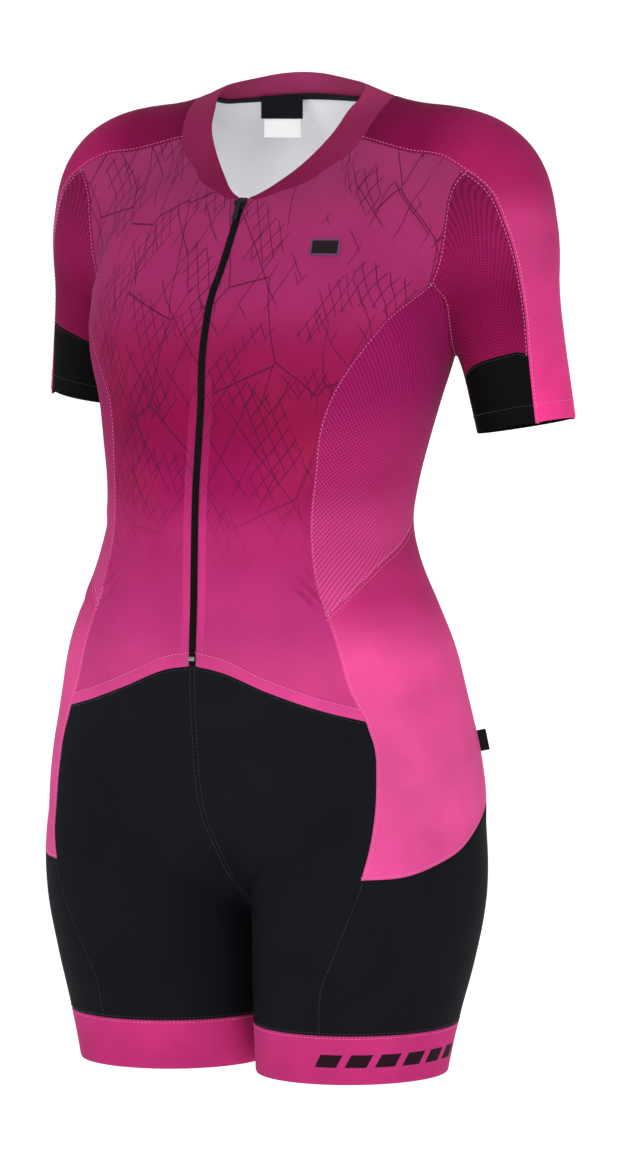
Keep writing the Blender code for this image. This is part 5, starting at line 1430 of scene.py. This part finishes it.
def grow(name, lines, settings):
    """Run the tree on some lines, and keep the result as a plain mesh."""
    source = edges_object(name + "_lines", lines)
    modifier = source.modifiers.new("beads", "NODES")
    modifier.node_group = beads
    for item in beads.interface.items_tree:
        if item.in_out == "INPUT" and item.name in settings:
            modifier[item.identifier] = settings[item.name]
    evaluated = source.evaluated_get(bpy.context.evaluated_depsgraph_get())
    data = bpy.data.meshes.new_from_object(evaluated)
    source.modifiers.clear()
    bpy.data.objects.remove(source)
    data.name = name
    thing = bpy.data.objects.new(name, data)
    bpy.context.scene.collection.objects.link(thing)
    print(name, len(data.polygons), "faces")
    return thing


# %% Thread
def thread_material(name, code):
    # Spun polyester thread: dull, with a slight sheen; the twist is too fine to see.
    made, tree = start_material(name)
    where = add(tree, "ShaderNodeTexCoord")
    twist = add(tree, "ShaderNodeTexNoise", Vector=where.outputs["Object"], Scale=900.0)
    bump = add(tree, "ShaderNodeBump", Strength=0.3, Distance=0.1 * MM, Height=twist.outputs[0])
    shade = add(tree, "ShaderNodeBsdfPrincipled", Base_Color=linear(code), Roughness=0.6, Sheen_Weight=0.2,
                Normal=bump.outputs[0])
    add(tree, "ShaderNodeOutputMaterial", Surface=shade.outputs[0])
    return made


pink_thread = thread_material("Pink polyester thread", "#E27FB0")
black_thread = thread_material("Black polyester thread", "#0E0F12")
for name, rows, finish, node in (("pink_stitches", PINK_ROWS, pink_thread, "front_left"),
                                 ("black_stitches", BLACK_ROWS, black_thread, "shorts_front_left")):
    stitches = grow(name, stitch_lines(rows), {"Finish": finish})
    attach(stitches, "suit")

# %% [markdown]
# ## The zip
# A coil zip is two black tapes, each with a nylon coil sewn along its edge. Closed, the two
# coils show as a double row of slanted beads. The tapes are one shell here, with a shallow
# channel down the middle, and the same tree of beads lays the coils, at a finer pitch.

# %% Zip tapes
def black_finish(name, code, roughness, bump_scale, strength, metallic=0.0, gloss=0.5):
    made, tree = start_material(name)
    where = add(tree, "ShaderNodeTexCoord")
    grain = add(tree, "ShaderNodeTexNoise", Vector=where.outputs["Object"], Scale=bump_scale, Detail=4.0)
    bump = add(tree, "ShaderNodeBump", Strength=strength, Distance=0.1 * MM, Height=grain.outputs[0])
    rough = add(tree, "ShaderNodeMapRange", Value=grain.outputs[0], To_Min=roughness - 0.1,
                To_Max=roughness + 0.1)
    shade = add(tree, "ShaderNodeBsdfPrincipled", Base_Color=linear(code), Metallic=metallic,
                Roughness=rough.outputs[0], Normal=bump.outputs[0])
    shade.inputs["Specular IOR Level"].default_value = gloss
    add(tree, "ShaderNodeOutputMaterial", Surface=shade.outputs[0])
    return made


# Woven polyester tape: matt. Nylon coil: a little gloss. Painted zinc: smooth, half gloss.
tape_black = black_finish("Black woven zip tape", "#090909", 0.8, 1500.0, 0.5, gloss=0.1)
coil_black = black_finish("Black nylon coil", "#0C0C0D", 0.5, 600.0, 0.1, gloss=0.25)
slider_black = black_finish("Black painted zinc", "#1B1C1F", 0.35, 300.0, 0.1, 0.4)
tab_black = black_finish("Black moulded rubber tab", "#0A0A0B", 0.5, 900.0, 0.3, gloss=0.3)
stop_zinc = black_finish("Bright zinc stop", "#9A9A9E", 0.35, 400.0, 0.15, 1.0)
ZIP_RISE = 0.7 * MM
ACROSS = [(-3.3, -0.55), (-2.6, -0.1), (-1.9, -0.15), (-0.9, -0.35), (0, -0.45), (0.9, -0.35), (1.9, -0.15),
          (2.6, -0.1), (3.3, -0.55)]    # millimetres across, and below the closed zip's top
thread_wide = np.array([[0, 0, 0], [1e-6, 0, 0], [2e-6, 0, 0]])
low_to_high = refine(zip_middle[:, None] + thread_wide)[:, 0]
zip_normals = body_normal(low_to_high) * [0, 1, 1]
columns = [low_to_high + [x * MM, 0, 0] + zip_normals * (ZIP_RISE + z * MM) for x, z in ACROSS]
tape_outer = np.stack(columns, axis=1)
tape_inner = tape_outer - zip_normals[:, None] * 0.9 * MM
outer, inner, rim = shell_faces(len(tape_outer), len(ACROSS), False)
faces = outer + inner + rim
turn = np.cross(tape_outer[5, 5] - tape_outer[5, 4], tape_outer[5, 5] - tape_outer[4, 5])
if turn @ zip_normals[5] < 0:
    faces = [face[::-1] for face in faces]
zip_tape = build_object("zip_tapes", np.concatenate([tape_outer.reshape(-1, 3), tape_inner.reshape(-1, 3)]),
                        faces, [tape_black])
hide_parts("zip_chain")
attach(zip_tape, "suit")

# %% Zip coils
COIL_PITCH = 1.5 * MM
below_slider = low_to_high[:-2] + zip_normals[:-2] * (ZIP_RISE - 0.25 * MM)
coils = grow("zip_coils", [below_slider + [s * 0.75 * MM, 0, 0] for s in (-1, 1)],
             {"Finish": coil_black, "Pitch": COIL_PITCH, "Length": 0.8 * MM, "Width": 1.9 * MM,
              "Height": 0.8 * MM, "Slant": math.radians(14)})
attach(coils, "suit")

# %% [markdown]
# ## Slider, pull tab and stop
# The slider is a small painted casting with two ears that hold the pull tab's eye. We model
# them as bevelled blocks and lofted plates, in a frame that lies on the zip: X across, Y down
# the zip, Z out of the cloth. The tab is a part of its own, because it swings on the pin.

# %% Places along the zip
SLIDER_WIDTH = 9.0 * MM
SLIDER_LENGTH = 11.0 * MM
SLIDER_THICKNESS = 2.0 * MM
SLIDER_FROM_TOP = 7.0 * MM    # slider's middle below the zip's upper end
EAR_WIDTH = 1.3 * MM          # the two ears that hold the pull tab's pin
EAR_LENGTH = 4.0 * MM
PIN_RADIUS = 0.65 * MM
PULL_EYE_RADIUS = 1.5 * MM
PULL_HOLE_RADIUS = 0.95 * MM
PULL_LEAN = math.radians(6)   # the tab leans in towards the chest below the slider
STOP_SIZE = (6.0 * MM, 3.5 * MM, 1.2 * MM)
STOP_FROM_HEM = 6.0 * MM
PATCH_CENTRE = (0.088, -0.106, -0.114)   # bare patch on the wearer's left of the chest
PATCH_SIZE = (26.0 * MM, 16.0 * MM)
TAG_POINT = (0.189, -0.012, -0.530)      # folded tag in the rear side seam
TAG_SIZE = (1.2 * MM, 8.0 * MM, 18.0 * MM)
TAPE_WIDTH = 6.0 * MM         # tape over the neck seam, inside
LABEL_CENTRE_X = -0.0255      # both neck labels hang to the wearer's right of the middle,
LABEL_ROOT = 0.0120           # straight down from this height at the neck seam
NECK_LABEL = {"width": 40.0 * MM, "top": 0.0120, "bottom": -0.0075, "depth": 4.4 * MM}
CARE_LABEL = {"width": 35.0 * MM, "top": 0.0040, "bottom": -0.0235, "depth": 3.6 * MM}
def frame_at(point, down):
    """A matrix at a point of the front: X sideways, Y down along the zip, Z out of the cloth."""
    normal = Vector(body_normal(np.array([point]))[0])
    down = Vector(down).normalized()
    normal = (normal - down * normal.dot(down)).normalized()
    side = down.cross(normal)
    return Matrix.Translation(Vector(point)) @ Matrix((side, down, normal)).transposed().to_4x4()


def along_zip(seams, distance_from_top):
    """A point on the zip's middle line, and the line's downward direction there."""
    line = seams["zip_middle"][::-1]
    keys = np.concatenate([[0], np.cumsum(np.linalg.norm(np.diff(line, axis=0), axis=1))])
    spots = [np.array([np.interp(d, keys, line[:, k]) for k in range(3)])
             for d in (distance_from_top, distance_from_top + 4 * MM)]
    return spots[0], spots[1] - spots[0], keys[-1]

seams["zip_middle"] = zip_middle
spot, down, zip_length = along_zip(seams, SLIDER_FROM_TOP)
slider_place = frame_at(spot, down)
floor = ZIP_RISE + 0.3 * MM
pin_height = floor + SLIDER_THICKNESS + 0.3 * MM + PULL_EYE_RADIUS
# The pin has to lie right on the joint, or the tab's eye would swing into it.
hinge = Vector(frame["record"]["behaviour"]["joints"][0]["pos_m"])
slider_place = Matrix.Translation(hinge - slider_place @ Vector((0, 0, pin_height))) @ slider_place
print("slider", round(SLIDER_FROM_TOP * 1000), "mm below the top of a", round(zip_length * 1000), "mm zip")


# %% Blocks and plates
def block(mesh, size, centre, place, taper=1.0, bevel=0.4 * MM):
    """Add a bevelled block. Taper narrows its lower end."""
    made = bmesh.ops.create_cube(mesh, size=1.0)["verts"]
    for corner in made:
        narrow = taper if corner.co.y > 0 else 1.0
        corner.co = Vector((corner.co.x * size[0] * narrow, corner.co.y * size[1], corner.co.z * size[2]))
    edges = {edge for corner in made for edge in corner.link_edges}
    result = bmesh.ops.bevel(mesh, geom=list(edges), offset=bevel, segments=3, affect="EDGES", profile=0.5)
    moved = {corner for face in result["faces"] for corner in face.verts} | {c for c in made if c.is_valid}
    for corner in moved:
        corner.co = place @ (corner.co + Vector(centre))


def tube(mesh, radius, hole, length, place, sides=24):
    """Add a round bar along X, or a ring where it has a hole, with softened ends."""
    soft = 0.15 * MM
    profile = [(-length / 2, radius - soft), (-length / 2 + soft, radius), (length / 2 - soft, radius),
               (length / 2, radius - soft)]
    if hole:
        profile += [(length / 2, hole), (-length / 2, hole)]
    rings = [[mesh.verts.new(place @ Vector((x, r * math.cos(a), r * math.sin(a))))
              for a in np.linspace(0, 2 * math.pi, sides, endpoint=False)] for x, r in profile]
    pairs = list(zip(rings, rings[1:])) + ([(rings[-1], rings[0])] if hole else [])
    for near, far in pairs:
        for k in range(sides):
            j = (k + 1) % sides
            mesh.faces.new((near[k], near[j], far[j], far[k]))
    if not hole:
        mesh.faces.new(rings[0][::-1])
        mesh.faces.new(rings[-1])


def close(name, mesh, look):
    """Turn a bmesh into an object with its faces outwards."""
    bmesh.ops.recalc_face_normals(mesh, faces=mesh.faces)
    data = bpy.data.meshes.new(name)
    mesh.to_mesh(data)
    mesh.free()
    data.materials.append(look)
    data.polygons.foreach_set("use_smooth", [True] * len(data.polygons))
    data.set_sharp_from_angle(angle=math.radians(40))
    thing = bpy.data.objects.new(name, data)
    bpy.context.scene.collection.objects.link(thing)
    return thing


# %% Slider and stop
mesh = bmesh.new()
block(mesh, (SLIDER_WIDTH, SLIDER_LENGTH, 0.7 * MM), (0, 0, floor + SLIDER_THICKNESS - 0.35 * MM),
      slider_place, 0.78, 0.3 * MM)
block(mesh, (SLIDER_WIDTH * 0.94, SLIDER_LENGTH * 0.96, 0.7 * MM), (0, 0, floor + 0.35 * MM), slider_place,
      0.78, 0.3 * MM)
block(mesh, (SLIDER_WIDTH * 0.4, SLIDER_LENGTH * 0.5, 1.4 * MM), (0, -SLIDER_LENGTH * 0.2, floor + 1.0 * MM),
      slider_place, 0.6, 0.2 * MM)
ear_top = pin_height + PIN_RADIUS + 0.4 * MM
for side in (-1, 1):
    block(mesh, (1.2 * MM, EAR_LENGTH, ear_top - floor - 0.9 * MM),
          (side * (SLIDER_WIDTH - EAR_WIDTH) / 2, 0, (floor + 0.9 * MM + ear_top) / 2),
          slider_place, 1.0, 0.35 * MM)
tube(mesh, PIN_RADIUS, 0, SLIDER_WIDTH - EAR_WIDTH, slider_place @ Matrix.Translation((0, 0, pin_height)))
slider = close("slider", mesh, slider_black)
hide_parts("zip_slider")
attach(slider, "suit")
mesh = bmesh.new()
spot, down, _ = along_zip(seams, zip_length - STOP_FROM_HEM)
stop_place = frame_at(spot, down)
block(mesh, STOP_SIZE, (0, 0, floor + STOP_SIZE[2] / 2), stop_place, 1.0, 0.35 * MM)
block(mesh, (STOP_SIZE[0] * 0.7, 0.5 * MM, 0.2 * MM), (0, 0, floor + STOP_SIZE[2]), stop_place,
      1.0, 0.06 * MM)
stop = close("bottom_stop", mesh, stop_zinc)
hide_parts("zip_bottom_stop")
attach(stop, "suit")
print(len(slider.data.polygons) + len(stop.data.polygons), "faces in slider and stop")

# %% Pull tab
eye_width = SLIDER_WIDTH - 2 * EAR_WIDTH - 0.6 * MM
tab_place = slider_place @ Matrix.Translation((0, 0, pin_height)) @ Matrix.Rotation(-PULL_LEAN, 4, "X")
mesh = bmesh.new()
tube(mesh, PULL_EYE_RADIUS, PULL_HOLE_RADIUS, eye_width, tab_place)
OUTLINE = [(1.2, 2.6), (2.6, 2.5), (5.0, 2.1), (9.0, 2.0), (13.0, 2.3), (15.6, 2.5), (17.0, 2.1), (17.8, 1.1)]
half = [(w, y) for y, w in OUTLINE]
ring = [(w * MM, y * MM) for w, y in half] + [(-w * MM, y * MM) for w, y in half[::-1]]
rings = []
for z, inset in ((-0.6, 0.25), (-0.42, 0.0), (0.42, 0.0), (0.6, 0.25)):
    rings.append([mesh.verts.new(tab_place @ Vector((x - math.copysign(inset * MM, x),
                                                     y - inset * MM * (1 if y > 0.009 else -1), z * MM)))
                  for x, y in ring])
for low, high in zip(rings, rings[1:]):
    for k in range(len(ring)):
        j = (k + 1) % len(ring)
        mesh.faces.new((low[k], low[j], high[j], high[k]))
mesh.faces.new(rings[0][::-1])
mesh.faces.new(rings[-1])
for k in range(5):
    block(mesh, (3.0 * MM, 0.6 * MM, 0.35 * MM), (0, (8.0 + 1.5 * k) * MM, 0.6 * MM), tab_place,
          1.0, 0.12 * MM)
pull = close("pull_tab", mesh, tab_black)
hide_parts("zip_pull")
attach(pull, "zip_pull")
print("pull tab", len(pull.data.polygons), "faces")

# %% [markdown]
# ## Patch, tag, tape and labels
# The chest patch is a thin film bonded on by heat. It stays bare, with a pale border. The tag
# in the side seam is folded ribbon, the two neck labels are single ribbons, and a tape covers
# the seam inside the back of the neck, so that it doesn't rub.

# %% Patch finish
film, tree = start_material("Heat bonded film")
cut = add(tree, "ShaderNodeUVMap", {"uv_map": "cut"})
axes = add(tree, "ShaderNodeVectorMath", {"operation": "ABSOLUTE"}, Vector=cut.outputs[0])
split = add(tree, "ShaderNodeSeparateXYZ", Vector=axes.outputs[0])
side_gap = add(tree, "ShaderNodeMath", {"operation": "SUBTRACT"}, _0=PATCH_SIZE[0] / 2, _1=split.outputs["X"])
top_gap = add(tree, "ShaderNodeMath", {"operation": "SUBTRACT"}, _0=PATCH_SIZE[1] / 2, _1=split.outputs["Y"])
rim_gap = add(tree, "ShaderNodeMath", {"operation": "MINIMUM"}, _0=side_gap.outputs[0], _1=top_gap.outputs[0])
border = add(tree, "ShaderNodeMapRange", Value=rim_gap.outputs[0], From_Min=1.4 * MM, From_Max=2.2 * MM,
             To_Min=1.0, To_Max=0.0)
paint = add(tree, "ShaderNodeMix", {"data_type": "RGBA"}, _0=border.outputs[0], _6=linear("#14030C"),
            _7=linear("#6A3A62"))
speck = add(tree, "ShaderNodeTexNoise", Vector=cut.outputs[0], Scale=900.0)
bump = add(tree, "ShaderNodeBump", Strength=0.2, Distance=0.05 * MM, Height=speck.outputs[0])
shade = add(tree, "ShaderNodeBsdfPrincipled", Base_Color=paint.outputs[2], Roughness=0.6,
            Normal=bump.outputs[0])
shade.inputs["Specular IOR Level"].default_value = 0.2
add(tree, "ShaderNodeOutputMaterial", Surface=shade.outputs[0])


# %% Woven ribbons
def ribbon(name, code, rib=0.7 * MM):
    # Woven polyester ribbon: fine ribs across, a soft gloss.
    made, tree = start_material(name)
    cut = add(tree, "ShaderNodeUVMap", {"uv_map": "cut"})
    ribs = add(tree, "ShaderNodeTexWave", {"wave_type": "BANDS", "bands_direction": "Y"},
               Vector=cut.outputs[0], Scale=0.314 / rib, Distortion=0.4)
    bump = add(tree, "ShaderNodeBump", Strength=0.4, Distance=0.2 * MM, Height=ribs.outputs[0])
    knit_surface(tree, uneven(tree, linear(code)[:3], 0.05), 0.6, 0.1, bump.outputs[0])
    return made


black_ribbon = ribbon("Black woven ribbon", "#121317")
white_satin = ribbon("White satin label", "#FFFFFF", 0.5 * MM)
print(len(bpy.data.materials), "materials")


# %% Laid-on strips
def strip(name, node, grid, rise, thickness, look, outwards=None):
    """A thin closed strip on the form: a patch, a tape or a label."""
    fine = refine(grid) if grid.shape[0] < 9 else grid
    across, up = lengths(fine, 1), lengths(fine, 0)
    across -= (across[:, :1] + across[:, -1:]) / 2
    up -= (up[:1] + up[-1:]) / 2
    normals = body_normal(fine) if outwards is None else np.broadcast_to(outwards, fine.shape)
    top = fine + normals * np.asarray(rise)[..., None]
    points = np.concatenate([top.reshape(-1, 3), (top - normals * thickness).reshape(-1, 3)])
    outer, inner, rim = shell_faces(*fine.shape[:2], False)
    faces = outer + inner + rim
    r, c = fine.shape[0] // 2, fine.shape[1] // 2
    turn = np.cross(top[r, c] - top[r, c - 1], top[r, c] - top[r - 1, c])
    if turn @ normals[r, c] < 0:
        faces = [face[::-1] for face in faces]
    cut = np.stack([across, up], -1).reshape(-1, 2)
    piece = build_object(name, points, faces, [look], uv=np.tile(cut, (2, 1)))
    size = (float(np.ptp(across)), float(np.ptp(up)))
    return piece, size, area_of(top)


def lay_flat(piece, node, size, area):
    """Declare a ribbon that isn't stretched."""
    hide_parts(node)
    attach(piece, "suit")
    flat = (round(max(size[0], 0.0101), 4), round(max(size[1], 0.0101), 4))
    sheets.append((node, round(flat[0] * 1000), round(flat[1] * 1000), round(area * 1e4, 1)))


centre = on_body(np.array([PATCH_CENTRE]))[0]
normal = Vector(body_normal(centre[None])[0])
across_way = Vector((0, 0, 1)).cross(normal).normalized()
up_way = normal.cross(across_way)
u = np.linspace(-0.5, 0.5, 27)[None, :] * PATCH_SIZE[0]
v = np.linspace(-0.5, 0.5, 17)[:, None] * PATCH_SIZE[1]
# How far into a corner each point is: there the film's outline is drawn in a little.
into_side = np.clip(np.abs(u) / PATCH_SIZE[0] * 2 - 0.86, 0, 1)
into_top = np.clip(np.abs(v) / PATCH_SIZE[1] * 2 - 0.80, 0, 1)
corner = into_side * into_top
shrink = 1 - 1.6 * corner
sideways = (u * shrink)[..., None] * np.array(across_way)
grid = on_body(centre + sideways + (v * shrink)[..., None] * np.array(up_way))
relief = crease_relief(grid, body_normal(grid))
patch, size, area = strip("patch_film", "chest_patch", grid, relief + 0.75 * MM, 0.6 * MM, film)
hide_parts("chest_patch")
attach(patch, "suit")
print("patch", round(size[0] * 1000, 1), "x", round(size[1] * 1000, 1), "mm")

# %% Neck tape and labels
count = CUTS["collar_back"] + 3
seam_line, above = collar_half[0][:count], collar_half[1][:count]
rise_way = (above - seam_line) / np.linalg.norm(above - seam_line, axis=-1, keepdims=True) * TAPE_WIDTH / 2
tape = on_body(np.array([seam_line - rise_way, seam_line, seam_line + rise_way]))
tape[:, 0, 0] = 0.0
piece, size, area = strip("neck_seam_tape", "neck_tape", whole(tape), -2.1 * MM, 0.8 * MM, black_ribbon)
lay_flat(piece, "neck_tape", size, area)
for name, label, look in (("neck_label", NECK_LABEL, black_ribbon), ("care_label", CARE_LABEL, white_satin)):
    piece, size, area = strip(name + "_ribbon", name, hang(label, 13, 9), 0.0, 0.5 * MM, look,
                              outwards=(0.0, 1.0, 0.0))
    lay_flat(piece, name, size, area)
    print(name, round(size[0] * 1000), "x", round(size[1] * 1000), "mm")

# %% Side tag
root = on_body(np.array([TAG_POINT]))[0]
out = Vector(body_normal(root[None])[0])
side_way = out.cross(Vector((0, 0, 1))).normalized()
tag_turn = Matrix((side_way, out, side_way.cross(out))).transposed().to_4x4()
tag_place = Matrix.Translation(Vector(root)) @ tag_turn
# The ribbon leaves the seam, folds back at its outer end, and returns: a flat loop.
HALF_LOOP = [(0.45, 0.4), (0.5, 3.0), (0.42, 6.4), (0.2, 7.9)]
LOOP_PATH = [(-x, y) for x, y in HALF_LOOP] + HALF_LOOP[::-1]
heights = np.linspace(-0.5, 0.5, 9) * TAG_SIZE[2]
path = np.array(LOOP_PATH) * MM
path_out = np.gradient(path, axis=0)[:, ::-1] * [-1, 1]
path_out /= np.linalg.norm(path_out, axis=1, keepdims=True)
points = []
for offset in (0.1 * MM, -0.1 * MM):
    for height in heights:
        points += [tuple(tag_place @ Vector((x + nx * offset, y + ny * offset, height)))
                   for (x, y), (nx, ny) in zip(path, path_out)]
outer, inner, rim = shell_faces(len(heights), len(path), False)
run = np.concatenate([[0], np.cumsum(np.linalg.norm(np.diff(path, axis=0), axis=1))])
tag_uv = np.stack(np.broadcast_arrays(run[None, :], heights[:, None]), -1).reshape(-1, 2)
tag = build_object("seam_tag", points, outer + inner + rim, [black_ribbon], uv=np.tile(tag_uv, (2, 1)))
mesh = bmesh.new()
mesh.from_mesh(tag.data)
bmesh.ops.recalc_face_normals(mesh, faces=mesh.faces)
mesh.to_mesh(tag.data)
mesh.free()
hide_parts("side_tag")
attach(tag, "suit")
tag_length = round(float(run[-1]), 4)
sheets.append(("side_tag", round(tag_length * 1000), round(TAG_SIZE[2] * 1000),
               round(tag_length * TAG_SIZE[2] * 1e4, 1)))

# %% [markdown]
# ## Count and end
# The faces of every mesh in the scene are counted, with the sheets of cloth. The
# dressed suit has to stay inside the box of the solids, give or take what cloth may
# stand proud.

# %% Faces, and the end
total = sum(len(thing.data.polygons) for thing in bpy.context.scene.objects if thing.type == "MESH")
print(total, "faces in the scene;", len(sheets), "sheets")
